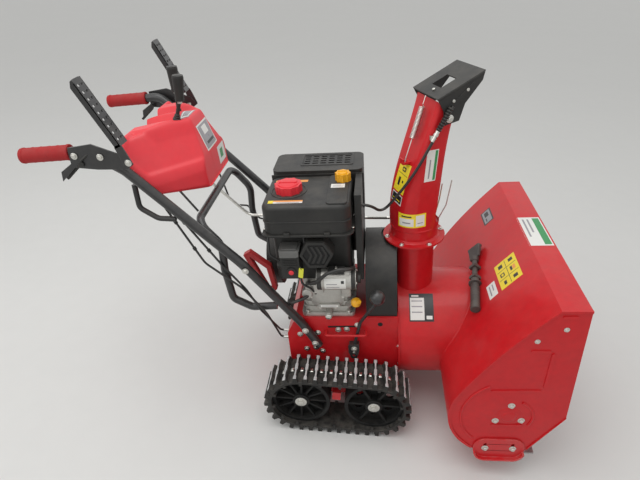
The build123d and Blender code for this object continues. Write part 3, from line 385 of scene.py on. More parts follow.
def printed(name: str, slot: str, colour: Colour, roughness: float = 0.35, tone: float = 0.03,
            scuffed: float = 0.2) -> Finish:
    """The finish of a label's field."""
    return Finish(name, slot, colour, roughness, tone=tone, grain=0.02, scuffed=scuffed)


RED = (0.56, 0.009, 0.014)

RED_PAINT = Finish(
    "red_enamel", "red_paint", RED, 0.4, coat=0.22, tone=0.1, tone_scale=6, grain=0.05, grain_scale=420,
    dust=0.08, dust_scale=9, scuffed=0.16, worn=(0.62, 0.16, 0.16), specular=0.24)
RED_WORN = Finish(
    "red_enamel_worn", "red_paint", RED, 0.42, coat=0.2, tone=0.08, grain=0.05, grain_scale=420,
    dust=0.22, wear=0.85, scuffed=0.3, worn=(0.42, 0.36, 0.34))
BLACK_PAINT = Finish(
    "black_enamel", "black_paint", (0.018, 0.018, 0.019), 0.36, coat=0.25, tone=0.2, grain=0.04,
    grain_scale=500, dust=0.1, dust_scale=30, wear=0.35)
WHEEL_PAINT = Finish(
    "wheel_enamel", "wheel_paint", (0.012, 0.012, 0.012), 0.6, tone=0.25, grain=0.06,
    dust=0.07, dust_scale=28, specular=0.2)
TRACK_RUBBER = Finish(
    "track_rubber_dusty", "track_rubber", (0.022, 0.021, 0.02), 0.62, tone=0.3, tone_scale=30,
    grain=0.12, grain_scale=900, dust=0.22, dust_scale=34, specular=0.3)
LUG_TIP = Finish(
    "lug_tip_worn", "track_rubber", (0.5, 0.5, 0.5), 0.4, tone=0.4, tone_scale=60,
    grain=0.12, grain_scale=900, dust=0.2, dust_scale=60)
GRIP_RUBBER = Finish(
    "grip_foam", "grip_rubber", (0.36, 0.02, 0.022), 0.74, tone=0.1, tone_scale=25,
    grain=0.25, grain_scale=620, cells=0.5, dust=0.12, specular=0.25)
ZINC = Finish(
    "zinc_plate", "zinc", (0.62, 0.61, 0.57), 0.3, metallic=1, tone=0.14, tone_scale=120,
    grain=0.02, dust=0.08)
STEEL = Finish(
    "bare_steel_worn", "bare_steel", (0.4, 0.4, 0.4), 0.36, metallic=1, tone=0.25, tone_scale=50,
    grain=0.05, dust=0.15)
CAST = Finish(
    "cast_aluminium_sand", "cast_aluminium", (0.47, 0.46, 0.43), 0.5, metallic=0.85, tone=0.16,
    tone_scale=30, grain=0.16, grain_scale=950, cells=0.6, dust=0.2)
CASE_IRON = Finish(
    "gearcase_casting", "gearcase_iron", (0.07, 0.07, 0.07), 0.55, metallic=0.5, tone=0.2,
    grain=0.2, grain_scale=800, cells=0.5, dust=0.2)
BLACK_PLASTIC = Finish(
    "black_moulding", "black_plastic", (0.019, 0.019, 0.018), 0.48, tone=0.14, tone_scale=7,
    grain=0.07, grain_scale=1100, cells=0.6, dust=0.12, dust_scale=14, specular=0.38)
TOOL_PLASTIC = Finish(
    "brown_black_moulding", "black_plastic", (0.06, 0.05, 0.046), 0.55, tone=0.2,
    grain=0.08, grain_scale=900, cells=0.5, dust=0.2)
GREY_PLASTIC = Finish(
    "grey_moulding", "grey_plastic", (0.13, 0.13, 0.125), 0.5, tone=0.1,
    grain=0.06, grain_scale=1000, cells=0.5, dust=0.15)
RED_PLASTIC = Finish(
    "red_moulding", "red_plastic", (0.76, 0.028, 0.042), 0.42, tone=0.05, tone_scale=5,
    grain=0.05, grain_scale=900, cells=0.4, dust=0.08, dust_scale=8)
DARK_RED_PLASTIC = Finish(
    "dark_red_moulding", "red_plastic", (0.4, 0.016, 0.018), 0.4, tone=0.1,
    grain=0.05, grain_scale=900, dust=0.12)
YELLOW_PLASTIC = Finish("yellow_moulding", "yellow_plastic", (0.86, 0.42, 0.015), 0.38, tone=0.06, grain=0.04)
LIME_TAG = Finish("yellow_tag", "yellow_plastic", (0.72, 0.72, 0.05), 0.4, tone=0.05, grain=0.03)
CABLE_BLACK = Finish(
    "cable_sheath", "cable_black", (0.015, 0.015, 0.015), 0.42, tone=0.2, grain=0.04, dust=0.12)
# Painted shade: a near-black finish for sheets that stand in for the shaded inside of holes, vent slots and
# the muffler guard.
PAINTED_SHADE = Finish("dark_opening", "black_plastic", (0.006, 0.006, 0.006), 0.8, tone=0.2, grain=0.05)
FLOOR_GREY = Finish(
    "studio_floor", "grey_plastic", (0.72, 0.72, 0.7), 0.75, tone=0.015, tone_scale=1.5, specular=0.2)
LABEL_WHITE = printed("label_white", "grey_plastic", (0.78, 0.78, 0.74))
LABEL_YELLOW = printed("label_yellow", "yellow_plastic", (0.86, 0.68, 0.03))
LABEL_GREEN = printed("label_green", "grey_plastic", (0.03, 0.27, 0.08), tone=0.05)
LABEL_BLACK = printed("label_black", "black_plastic", (0.02, 0.02, 0.02), tone=0.1)
LABEL_ORANGE = printed("label_orange", "yellow_plastic", (0.85, 0.34, 0.08), tone=0.05, scuffed=0.0)
LABEL_GREY = printed("label_grey", "grey_plastic", (0.3, 0.29, 0.31), 0.3, tone=0.1, scuffed=0.0)


# Outlines and routes


def lay(axis: str, u: float, v: float, w: float) -> Vector:
    """Put a flat point (u, v) at depth w along an axis."""
    return Vector({"X": (w, u, v), "Y": (u, w, v), "Z": (u, v, w)}[axis])


def arc(centre: Point, radius: float, start: float, end: float, steps: int = 12) -> Outline:
    """Points on an arc, angles in degrees."""
    turns = [math.radians(start + (end - start) * i / steps) for i in range(steps + 1)]
    return [(centre[0] + radius * math.cos(t), centre[1] + radius * math.sin(t)) for t in turns]


def circle(centre: Point, radius: float, steps: int, start: float = 0.0) -> Outline:
    """Points evenly round a centre, each once."""
    return arc(centre, radius, start, start + 360, steps)[:-1]


def around(centre: Point, radius: float, turns: Sequence[float]) -> Outline:
    """Points round a centre at given angles in degrees."""
    return [arc(centre, radius, turn, turn, 1)[0] for turn in turns]


def corner_points(corner: Sequence[Point], radius: float, steps: int, straight: float) -> list[Vector]:
    """Points of one rounded corner, or the corner itself where the line is all but straight.

    Args:
        corner: The point before it, the corner and the point after it.
        radius: Its radius, less where a side is short.
        steps: Segments in it.
        straight: Half angle in degrees above which it counts as straight.

    Returns:
        The points in order.
    """
    before, here, after = (Vector(point) for point in corner)
    back, on = before - here, after - here
    half = back.angle(on) / 2
    if half > math.radians(straight):
        return [here]
    reach = min(radius / math.tan(half), CORNER_SHARE * back.length, CORNER_SHARE * on.length)
    start, end = here + back.normalized() * reach, here + on.normalized() * reach
    shares = [k / steps for k in range(steps + 1)]
    return [start * (1 - t) ** 2 + here * 2 * t * (1 - t) + end * t * t for t in shares]


def rounded(outline: Outline, radius: float, steps: int = 5) -> Outline:
    """Round the corners of a closed outline."""
    corners = zip(outline[-1:] + outline[:-1], outline, outline[1:] + outline[:1])
    return [tuple(point) for corner in corners for point in corner_points(corner, radius, steps, 88)]


def panel(low: Point, high: Point, radius: float, steps: int = 5) -> Outline:
    """A rectangle with rounded corners, by two opposite corners."""
    (u0, v0), (u1, v1) = low, high
    return rounded([(u0, v0), (u1, v0), (u1, v1), (u0, v1)], radius, steps)


def oblong(centre: Point, length: float, width: float, turn: float = 0.0, steps: int = 5) -> Outline:
    """A slot with round ends, turned by an angle in degrees.

    Args:
        centre: Its middle.
        length: Its whole length.
        width: Its width.
        turn: How far it is turned.
        steps: Segments in each end.

    Returns:
        The outline.
    """
    half = (length - width) / 2
    ends = arc((half, 0), width / 2, -90, 90, steps) + arc((-half, 0), width / 2, 90, 270, steps)
    c, s = math.cos(math.radians(turn)), math.sin(math.radians(turn))
    return [(centre[0] + u * c - v * s, centre[1] + u * s + v * c) for u, v in ends]


def route_line(points: Sequence[Point], radius: float) -> list[Vector]:
    """A route with its corners rounded, as points close enough together to sweep a tube along.

    Args:
        points: The route's points.
        radius: Radius of its corners.

    Returns:
        The points in order.
    """
    line = [Vector(points[0])]
    for corner in zip(points, points[1:], points[2:]):
        line += corner_points(corner, radius, ROUTE_STEPS, 89.5)
    return line + [Vector(points[-1])]


def linked(name: str, data: bpy.types.ID) -> bpy.types.Object:
    """A new object in the scene that shows some data.

    Args:
        name: The object's name.
        data: Its mesh, curve, lamp or camera.

    Returns:
        The new object.
    """
    made = bpy.data.objects.new(name, data)
    bpy.context.scene.collection.objects.link(made)
    return made


def frame_round(along: Vector) -> tuple[Vector, Vector]:
    """Two directions square to a third."""
    side = along.orthogonal().normalized()
    return side, along.normalized().cross(side)


def spokes(side: Vector, other: Vector, count: int) -> list[Vector]:
    """Directions evenly spaced round the plane of two others."""
    turns = [2 * math.pi * i / count for i in range(count)]
    return [side * math.cos(t) + other * math.sin(t) for t in turns]


def heading(start: Point, end: Point) -> Vector:
    """Direction from one point to another."""
    return (Vector(end) - Vector(start)).normalized()


class Form:
    """A mesh drawn in millimetres that becomes one piece of the machine."""

    def __init__(self, place: Place = Place.CHASSIS) -> None:
        """Start an empty mesh in one of the machine's frames."""
        self.place = place
        self.mesh = bmesh.new()

    def ring(self, points: Sequence[Point]) -> list[bmesh.types.BMVert]:
        """Add a ring of vertices."""
        return [self.mesh.verts.new(Vector(point)) for point in points]

    def skin(self, rings: Sequence[Sequence[Point]], closed: bool = True, capped: bool = True) -> "Form":
        """Join rings of equal length into one skin.

        Args:
            rings: Rings of points, in order.
            closed: Whether each ring closes on itself.
            capped: Whether the first and last ring are filled.

        Returns:
            This form.
        """
        made = [self.ring(ring) for ring in rings]
        count = len(made[0])
        for low, high in zip(made, made[1:]):
            for i in range(count if closed else count - 1):
                k = (i + 1) % count
                self.mesh.faces.new((low[i], low[k], high[k], high[i]))
        if capped:
            self.mesh.faces.new(made[0])
            self.mesh.faces.new(list(reversed(made[-1])))
        return self

    def block(self, centre: Point, size: Point, turn: Point = (0, 0, 0)) -> "Form":
        """Add a box by its centre and size, turned by angles in degrees.

        Args:
            centre: Its middle.
            size: Its size along each axis.
            turn: Turn about each axis.

        Returns:
            This form.
        """
        spin = Euler([math.radians(a) for a in turn]).to_matrix()
        half = Vector(size) / 2
        rings = []
        for z in (-half.z, half.z):
            corners = ((-half.x, -half.y, z), (half.x, -half.y, z), (half.x, half.y, z), (-half.x, half.y, z))
            rings.append([Vector(centre) + spin @ Vector(corner) for corner in corners])
        return self.skin(rings)

    def prism(self, outline: Outline, low: float, high: float, axis: str = "Y",
              holes: Sequence[Outline] = ()) -> "Form":
        """Add a flat outline drawn out along an axis.

        Args:
            outline: The outline in the plane across the axis.
            low: Where it starts along the axis.
            high: Where it ends.
            axis: X, Y or Z.
            holes: Outlines cut out of it.

        Returns:
            This form.
        """
        if not holes:
            return self.skin([[lay(axis, u, v, w) for u, v in outline] for w in (low, high)])
        edges = []
        for loop in (outline, *holes):
            verts = self.ring([lay(axis, u, v, low) for u, v in loop])
            edges += [self.mesh.edges.new((a, b)) for a, b in zip(verts, verts[1:] + verts[:1])]
        filled = bmesh.ops.triangle_fill(self.mesh, use_beauty=True, edges=edges)["geom"]
        faces = [part for part in filled if isinstance(part, bmesh.types.BMFace)]
        drawn = bmesh.ops.extrude_face_region(self.mesh, geom=faces)["geom"]
        far = [part for part in drawn if isinstance(part, bmesh.types.BMVert)]
        bmesh.ops.translate(self.mesh, vec=lay(axis, 0, 0, high - low), verts=far)
        return self

    def turned(self, start: Point, along: Point, profile: Outline, sides: int = 32) -> "Form":
        """Add a turned shape.

        Args:
            start: Where the profile begins.
            along: Direction of its axis.
            profile: Pairs of distance along the axis and radius.
            sides: Number of sides.

        Returns:
            This form.
        """
        way = Vector(along).normalized()
        round_it = spokes(*frame_round(way), sides)
        rings = []
        for run, radius in profile:
            middle = Vector(start) + way * run
            rings.append([middle + spoke * max(radius, 0.01) for spoke in round_it])
        return self.skin(rings)

    def tube(self, points: Sequence[Point], radius: float, corner: float = 20.0, sides: int = 12) -> "Form":
        """Add a bent round bar along a route with rounded corners."""
        return self.sweep(route_line(points, corner), radius, sides)

    def sweep(self, line: Sequence[Vector], radius: float, sides: int = 12) -> "Form":
        """Add a round bar along closely spaced points.

        Args:
            line: The points.
            radius: The bar's radius.
            sides: Number of sides.

        Returns:
            This form.
        """
        rings = []
        side = frame_round(line[1] - line[0])[0]
        for i, here in enumerate(line):
            way = (line[min(i + 1, len(line) - 1)] - line[max(i - 1, 0)]).normalized()
            side = (side - way * side.dot(way)).normalized()
            rings.append([here + spoke * radius for spoke in spokes(side, way.cross(side), sides)])
        return self.skin(rings)

    def bolt(self, foot: Point, out: Point, size: float = 6.5, washer: bool = True) -> "Form":
        """Add a hexagon bolt head with its washer, standing on a face.

        Args:
            foot: Point on the face.
            out: Direction that it stands in.
            size: Radius of the head over its corners.
            washer: Whether it has a washer.

        Returns:
            This form.
        """
        way = Vector(out).normalized()
        sunk = Vector(foot) - way * HEAD_SUNK
        rise = 0.0
        if washer:
            self.turned(sunk, way, [(run, size * wide) for run, wide in WASHER], 24)
            rise = WASHER[-1][0]
        return self.turned(sunk, way, [(rise + size * run, size * wide) for run, wide in BOLT_HEAD], 6)

    def side_bolts(self, spots: Sequence[Point], depth: float, size: float, washer: bool = True) -> "Form":
        """Add bolt heads that face right, at places given by X and Z.

        Args:
            spots: The places.
            depth: Distance of the face from the machine's middle.
            size: Radius of each head over its corners.
            washer: Whether they have washers.

        Returns:
            This form.
        """
        for x, z in spots:
            self.bolt((x, -depth, z), RIGHT, size, washer)
        return self

    def piece(self, name: str, finish: Finish, body: Body | None = Body.CHASSIS, edge: float = 0.0,
              smooth: float = 42.0, replaces: Sequence[str] = (), mirrored: bool = False) -> bpy.types.Object:
        """Finish the mesh as a piece of the machine.

        Args:
            name: The piece's name.
            finish: Its finish.
            body: The body it moves with, or none where it spans two bodies and is attached to neither.
            edge: Width of its rounded edges in millimetres, or none.
            smooth: Angle in degrees under which faces shade as one.
            replaces: Solid nodes that it stands for.
            mirrored: Whether it is drawn again on the other side of the machine.

        Returns:
            The new object.
        """
        if mirrored:
            mesh = self.mesh
            twin = bmesh.ops.duplicate(mesh, geom=mesh.verts[:] + mesh.edges[:] + mesh.faces[:])["geom"]
            verts = [part for part in twin if isinstance(part, bmesh.types.BMVert)]
            bmesh.ops.scale(mesh, vec=(1, -1, 1), verts=verts)
        bmesh.ops.recalc_face_normals(self.mesh, faces=self.mesh.faces)
        self.mesh.transform(self.place.matrix)
        data = bpy.data.meshes.new(name)
        self.mesh.to_mesh(data)
        self.mesh.free()
        made = linked(name, data)
        data.polygons.foreach_set("use_smooth", [True] * len(data.polygons))
        if edge:
            soften(made, edge)
        else:
            data.set_sharp_from_angle(angle=math.radians(smooth))
        data.materials.append(finish.material())
        if body:
            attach(made, body.value)
        if replaces:
            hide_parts(*replaces)
        return made


def soften(piece: bpy.types.Object, edge: float) -> None:
    """Round a piece's edges by a width in millimetres.

    Args:
        piece: The piece.
        edge: The width.
    """
    bevel = piece.modifiers.new("rounded_edges", "BEVEL")
    bevel.width = edge * MM
    bevel.segments = 2
    bevel.limit_method = "ANGLE"
    bevel.angle_limit = BEVEL_ANGLE
    piece.modifiers.new("even_shading", "WEIGHTED_NORMAL")


def dress(node: str, finish: Finish, edge: float = 0.7) -> bpy.types.Object:
    """Give a solid node its finish and rounded edges.

    Args:
        node: The node's name.
        finish: Its finish.
        edge: Width of its rounded edges in millimetres.

    Returns:
        The node's object.
    """
    solid = frame["nodes"][node]
    data = solid.data
    for name in ("custom_normal", "sharp_edge", "sharp_face"):
        if name in data.attributes:
            data.attributes.remove(data.attributes[name])
    data.polygons.foreach_set("use_smooth", [True] * len(data.polygons))
    weld = solid.modifiers.new("joined_faces", "WELD")
    weld.merge_threshold = WELD_GAP
    soften(solid, edge)
    data.materials.clear()
    data.materials.append(finish.material())
    return solid


def smooth_step(value: float, low: float, high: float) -> float:
    """Rise smoothly from 0 at low to 1 at high."""
    t = max(0.0, min(1.0, (value - low) / (high - low)))
    return t * t * (3 - 2 * t)


def soft_min(values: Sequence[float], blend: float) -> float:
    """The least of some heights, with the corners between them rounded."""
    least = min(values)
    return least - blend * math.log(sum(math.exp((least - value) / blend) for value in values))


def between(start: Point, end: Point, steps: int) -> Outline:
    """Points from one to short of another, evenly spaced."""
    (u0, v0), (u1, v1) = start, end
    return [(u0 + (u1 - u0) * k / steps, v0 + (v1 - v0) * k / steps) for k in range(steps)]


def on_slope(slope: Slope, at: float) -> float:
    """Height on a slope, given by its height at a start, that start and its rise."""
    height, start, rise = slope
    return height + (at - start) * rise


def dress_all(*rows: tuple[str, Finish, float]) -> None:
    """Give several solid nodes their finish and rounded edges."""
    for node, finish, edge in rows:
        dress(node, finish, edge)


# Sub-assemblies


@dataclass
class TrackUnit:
    """Both tracks with their wheels, beams and axle."""

    spacing: float = 224.0
    belt_r: float = 98.0
    belt_thick: float = 8.0
    belt_edge: float = 1.5
    belt_in_y: float = 173.0
    belt_width: float = 102.0
    belt_steps: int = 180
    lug_count: int = 36
    lug_high: float = 17.0
    lug_side: Spots = ((6.2, 10), (3.4, 14), (3.4, 36), (6.5, 41), (6.5, 51))
    guide_count: int = 18
    wheel_set_in: float = 16.0

    @property
    def arc_run(self) -> float:
        """Length of belt round one hub."""
        return math.pi * self.belt_r

    @property
    def whole_run(self) -> float:
        """Length of the whole belt."""
        return 2 * (self.spacing + self.arc_run)

    @property
    def lug_outline(self) -> Outline:
        """Outline of a lug, along and across the belt."""
        flare = [(u, -v) for u, v in reversed(self.lug_side)] + list(self.lug_side)
        return flare + [(-u, -v) for u, v in flare]

    def spot(self, run: float) -> tuple[Vector, Vector, Vector]:
        """Hub-side point, outward and onward directions at a run along the belt.

        Args:
            run: Distance along the belt.

        Returns:
            The point and both directions.
        """
        run = run % self.whole_run
        if run < self.spacing:
            return Vector((run, 0, AXLE_Z)), UP.copy(), AHEAD.copy()
        if run < self.spacing + self.arc_run:
            turn, hub = (run - self.spacing) / self.belt_r, self.spacing
        elif run < 2 * self.spacing + self.arc_run:
            return Vector((2 * self.spacing + self.arc_run - run, 0, AXLE_Z)), -UP, -AHEAD
        else:
            turn, hub = math.pi + (run - 2 * self.spacing - self.arc_run) / self.belt_r, 0.0
        out = Vector((math.sin(turn), 0, math.cos(turn)))
        return Vector((hub, 0, AXLE_Z)), out, Vector((math.cos(turn), 0, -math.sin(turn)))

    def at(self, run: float, radius: float, along: float, across: float) -> Vector:
        """A point by its run, radius and offsets along and across the belt, on the right track.

        Args:
            run: Distance along the belt.
            radius: Distance from the hubs.
            along: Offset along the belt.
            across: Offset across it.

        Returns:
            The point.
        """
        hub, out, on = self.spot(run)
        middle = -self.belt_in_y - self.belt_width / 2
        return hub + out * radius + on * along + Vector((0, middle + across, 0))

    def stack(self, form: Form, run: float, outline: Outline, levels: Sequence[Point],
              middle: float = 0.0) -> None:
        """Stand a block on the belt.

        Args:
            form: The mesh it is added to.
            run: Where it stands along the belt.
            outline: Its outline, along and across the belt.
            levels: Radius and scale along and across of each level.
            middle: Where its middle lies across the belt.
        """
        rings = []
        for radius, long, wide in levels:
            rings.append([self.at(run, radius, u * long, middle + v * wide) for u, v in outline])
        form.skin(rings)

    def build_belts(self) -> None:
        """Both belts with their lugs, worn lug tips, steel inserts and guide blocks."""
        half = self.belt_width / 2
        inner, crest, edge = self.belt_r - self.belt_thick, self.belt_r + self.lug_high, self.belt_edge
        near_side = [(-half, inner), (-half, self.belt_r - edge), (-half + edge, self.belt_r)]
        section = near_side + [(-y, r) for y, r in reversed(near_side)]
        belt, tips, inserts = Form(Place.TRACK), Form(Place.TRACK), Form(Place.TRACK)
        runs = [self.whole_run * i / self.belt_steps for i in range(self.belt_steps + 1)]
        belt.skin([[self.at(run, r, 0, y) for y, r in section] for run in runs], capped=False)
        pitch = self.whole_run / self.lug_count
        clip = panel((-5.5, -7), (5.5, 7), 3.5, 3)
        lug = ((self.belt_r - 2, 1.5, 1), (self.belt_r + 1.5, 1.12, 1), (crest - 1.6, 0.9, 1))
        tip = ((crest - 1.7, 0.74, 0.99), (crest - 0.5, 0.64, 0.975), (crest - 0.05, 0.4, 0.975))
        insert = ((self.belt_r - 1, 1, 1), (self.belt_r + 3.2, 1, 1), (self.belt_r + 4.4, 0.72, 0.72))
        for i in range(self.lug_count):
            run = (i + 0.5) * pitch
            self.stack(belt, run, self.lug_outline, lug)
            self.stack(tips, run, self.lug_outline, tip)
            self.stack(inserts, run + pitch / 2, clip, insert)
        square = [(-5, -5), (5, -5), (5, 5), (-5, 5)]
        for i in range(self.guide_count):
            for side in (-1, 1):
                run = i * self.whole_run / self.guide_count
                self.stack(belt, run, square, ((inner + 1, 1, 1), (inner - 9, 0.82, 0.82)), side * (half - 5))
        belt.piece("track_belts", TRACK_RUBBER, Body.TRACK, edge=0.8, replaces=("track_right", "track_left"),
                   mirrored=True)
        tips.piece("track_lug_tips", LUG_TIP, Body.TRACK, mirrored=True)
        inserts.piece("track_inserts", ZINC, Body.TRACK, mirrored=True)

    def build_hubs(self) -> None:
        """Washers and bolts over the wheel hubs."""
        face = self.belt_in_y + self.belt_width - self.wheel_set_in + 0.3
        washer = [(0, 18), (2.9, 18), (3.4, 17.2), (3.4, 11), (5.2, 11), (5.6, 10)]
        hubs = Form(Place.TRACK)
        for x in (0.0, self.spacing):
            hubs.turned((x, -face, AXLE_Z), RIGHT, washer, 36)
            hubs.turned((x, -face, AXLE_Z), RIGHT, [(5, 9), (9.4, 9), (10.2, 7.2)], 6)
        hubs.piece("wheel_hub_bolts", ZINC, Body.TRACK, mirrored=True)

    def build(self) -> None:
        """Build the unit's details and dress its solids."""
        self.build_belts()
        self.build_hubs()
        for side in ("right", "left"):
            dress_all((f"track_wheels_{side}", WHEEL_PAINT, 0.9), (f"track_beam_{side}", RED_WORN, 0.8))
        dress_all(("drive_axle", STEEL, 0.5), ("track_tie", BLACK_PAINT, 0.5))


@dataclass
class Chassis:
    """Red tub with its fasteners, openings, stop bracket and the flange bolted to the drum."""

    half: float = 145.0
    front: float = 300.0
    drum_z: float = 232.0
    drum_r: float = 168.0
    flange_r: float = 174.0
    flange_thick: float = 4.0
    flange_bolts: Spots = ((136, 308), (140, 239), (138, 167))
    bearing_bolt_r: float = 23.0
    side_bolts: Spots = (
        (55, 294), (-0.6, 287), (15.5, 228), (45, 233), (65, 219), (119, 306), (145, 308), (178, 325))

    def build_bolts(self) -> None:
        """Bolts of the handlebar foot, the engine plate and the bearing."""
        form = Form().side_bolts(self.side_bolts, self.half, 6.2)
        bearing = around((0, AXLE_Z), self.bearing_bolt_r, (45, 135, 225, 315))
        form.side_bolts(bearing, self.half + 12, 4.2, washer=False)
        form.piece("chassis_bolts", ZINC, mirrored=True)

    def build_openings(self) -> None:
        """Painted shade for the punched hole and slot in each side: thin dark sheets laid on the surface."""
        form = Form().turned((246.5, -self.half + 0.5, 327.4), RIGHT, [(0, 7.5), (0.7, 7.5)], 28)
        form.prism(oblong((131, 318), 88, 6.5, 1.5), -self.half - 0.25, -self.half + 1)
        form.piece("chassis_openings", PAINTED_SHADE, mirrored=True)

    def build_flange(self) -> None:
        """Folded flange where the drum is bolted to the tub."""
        inner, far = self.drum_r + 1, self.front + self.flange_thick
        rings = []
        for x, radius in (
            (self.front, inner), (self.front, self.flange_r), (far, self.flange_r), (far, inner),
        ):
            rings.append([(x, y, z) for y, z in circle((0, self.drum_z), radius, 72, -90)])
        form = Form().skin(rings + rings[:1], capped=False)
        form.piece("drum_flange", RED_PAINT, edge=0.8)
        bolts = Form()
        for side in (-1, 1):
            for y, z in self.flange_bolts:
                bolts.bolt((self.front, side * y, z), BACK, 5.6)
        bolts.piece("drum_flange_bolts", ZINC)

    def build_bracket(self) -> None:
        """Black stop bracket under the height lever, with its pin."""
        outline = rounded([(148, 262), (180, 262), (180, 232), (172, 206), (156, 206), (148, 232)], 5)
        form = Form()
        form.prism(outline, -self.half - 20.6, -self.half - 18.4, holes=[circle((164, 219), 4.2, 18)])
        form.prism(panel((150, 252), (178, 258), 2), -self.half - 19, -self.half)
        form.piece("stop_bracket", BLACK_PAINT, edge=0.5)
        pin = Form().side_bolts([(166, 246)], self.half + 20.4, 6.5)
        pin.side_bolts([(165, 232)], self.half + 20.4, 4.5, washer=False)
        pin.piece("stop_bracket_bolts", ZINC)

    def build(self) -> None:
        """Build the tub's details and dress its solids."""
        self.build_bolts()
        self.build_openings()
        self.build_flange()
        self.build_bracket()
        dress_all(
            ("chassis", RED_PAINT, 1.2), ("engine_plate", RED_PAINT, 0.6), ("transmission", CASE_IRON, 1.5))


@dataclass
class Engine:
    """Engine with its tank, cowl, starters, muffler guard and carburettor box."""

    near: float = 130.0
    tank_top: float = 748.0
    tank_low: float = 656.0
    fuel_cap_at: tuple[float, float] = (4, -82)
    oil_cap_at: tuple[float, float] = (150, -28)
    cowl_top: float = 762.0
    lid_z: float = 608.0
    box_face: float = 177.0
    primer_at: tuple[float, float] = (4, 545)
    guard_at: tuple[float, float] = (77, 597)
    guard_face: float = 174.3
    starter_z: float = 509.0
    starter_y: float = 161.3
    starter_r: float = 31.0
    cover_at: tuple[float, float] = (92, 428)
    cover_bolt_r: float = 47.0
    dipstick_way: tuple[float, float, float] = (0.34, -0.42, 0.4)
    recoil_at: tuple[float, float] = (-2, 497)
    recoil_face: float = -84.3
    recoil_spokes: int = 14

    def build_tank(self) -> None:
        """Seam, lip, raised deck, cap rim and screws of the tank, and the domes of both caps."""
        form = Form()
        form.prism(panel((-61.2, -181.2), (177.2, 18), 30, 8), 699, 703.5, "Z")
        form.prism(panel((-66.5, -185.5), (182.5, 18), 30, 8), self.tank_low + 5, self.tank_low + 9, "Z")
        for x in (4, 112):
            form.block((x, -183, self.tank_low + 10), (16, 6, 12))
        form.prism(panel((112, -171), (167, 9), 13, 6), self.tank_top - 2, self.tank_top + 3.5, "Z")
        rim = [(0, 44), (2.6, 46), (2.8, 48.5), (0.6, 51)]
        form.turned((*self.fuel_cap_at, self.tank_top - 0.2), UP, rim, 48)
        form.piece("tank_seam_and_deck", BLACK_PLASTIC, edge=1.6)
        screws = Form()
        for x, y in ((-62.4, -150), (-62.4, -12), (179, -150), (179, -80)):
            screws.turned((x, y, self.tank_low + 11), UP, [(0, 4), (2, 4), (3, 3)], 14)
        screws.piece("tank_screws", ZINC)
        for name, centre, height, radius, finish in (
            ("fuel_cap_dome", self.fuel_cap_at, 22.3, 29, RED_PLASTIC),
            ("oil_cap_dome", self.oil_cap_at, 26.3, 15, YELLOW_PLASTIC),
        ):
            top = self.tank_top + height
            dome = [
                (0, radius), (2.4, radius), (4.2, radius * 0.9), (5.2, radius * 0.55), (5.4, radius * 0.1)]
            cap = Form().turned((*centre, top - 1), UP, dome, 40)
            cap.block((*centre, top + 4.6), (radius * 1.7, radius * 0.34, 4))
            cap.piece(name, finish, edge=0.9)

    def build_cowl(self) -> None:
        """Raised vent frame on the cowl, dark sheets of painted shade under its slots, front seam and side
        louvres.
        """
        form = Form()
        rim, opening = panel((18, 56), (176, 144), 10), panel((24, 62), (170, 138), 8)
        form.prism(rim, self.cowl_top - 1.5, self.cowl_top + 1.6, "Z", holes=[opening])
        form.prism(panel((-62, 16.5), (206, 20), 1.4), 640, 752, "Z")
        for z in range(640, 738, 14):
            form.block((-61, 88, z), (3.4, 104, 6), (0, 24, 0))
        form.piece("cowl_trim", BLACK_PLASTIC, edge=0.8)
        # Painted shade: dark sheets under the vent slots stand in for the shaded inside of the cowl.
        floor = Form()
        for i in range(6):
            for k in range(4):
                slot = oblong((97 + (i - 2.5) * 24, 100 + (k - 1.5) * 17), 17.4, 6.4)
                floor.prism(slot, self.cowl_top - 6.1, self.cowl_top - 5.3, "Z")
        floor.piece("cowl_slot_floors", PAINTED_SHADE)

    def build_guard(self) -> None:
        """Chevron bars and rim of the muffler guard, and a dark disc of painted shade behind the bars."""
        cx, cz = self.guard_at
        face = -self.guard_face
        inner = circle(self.guard_at, 38, 6)
        form = Form().prism(rounded(circle(self.guard_at, 46.5, 6), 4), face - 3.4, face + 1, holes=[inner])
        for k in range(4):
            x = cx - 23 + k * 14
            upper, lower = [(x - 6, cz + 27), (x + 1, cz + 27)], [(x + 1, cz - 27), (x - 6, cz - 27)]
            chevron = [*upper, (x + 13, cz), *lower, (x + 6, cz)]
            form.prism(chevron, face - 2.4, face + 1)
        form.piece("muffler_guard_bars", BLACK_PLASTIC, edge=1.0)
        # Painted shade: a dark disc behind the bars stands in for the shaded space behind the guard.
        Form().prism(inner, face - 0.4, face + 1).piece("muffler_guard_back", PAINTED_SHADE)

    def build_carburettor_box(self) -> None:
        """Grey lid, side ribs, primer button and choke knob of the carburettor box."""
        lid, z, face = Form(), self.lid_z, -self.box_face
        lid.prism(panel((-27, -181), (31, -128), 9), z, z + 5.5, "Z")
        lid.prism(panel((-20, -174), (24, -134), 6), z + 5, z + 8, "Z")
        flap = [(-25, z + 3), (29, z + 3), (29, z - 12), (22, z - 16), (-25, z - 16)]
        lid.prism(rounded(flap, 3), face - 5, face)
        lid.piece("carburettor_lid", GREY_PLASTIC, edge=1.2)
        ribs = Form()
        for z in range(583, 564, -6):
            ribs.prism(panel((-18, z - 3), (22, z), 1.2), face - 3.4, face)
        x, z = self.primer_at
        ribs.turned((x, face - 1, z), RIGHT, [(0, 13), (4, 13), (5, 11.5)], 32)
        ribs.tube([(24, -176, 566), (32, -184, 562), (33, -183, 554)], 1.6, 5, 8)
        ribs.turned((-24, -150, 548), BACK, [(0, 11), (7, 11), (9, 9), (16, 8), (17, 6)], 28)
        ribs.piece("carburettor_ribs", BLACK_PLASTIC, edge=0.7)
        button = Form().turned((x, face - 5, z), RIGHT, [(0, 7), (3.5, 7), (5, 5.6), (5.8, 3)], 28)
        button.piece("primer_button", RED_PLASTIC)
        tag = Form().prism(rounded([(22, 530), (35, 526), (40, 557), (27, 561)], 3), -184.4, -182)
        tag.piece("key_tag", LIME_TAG, edge=0.4)

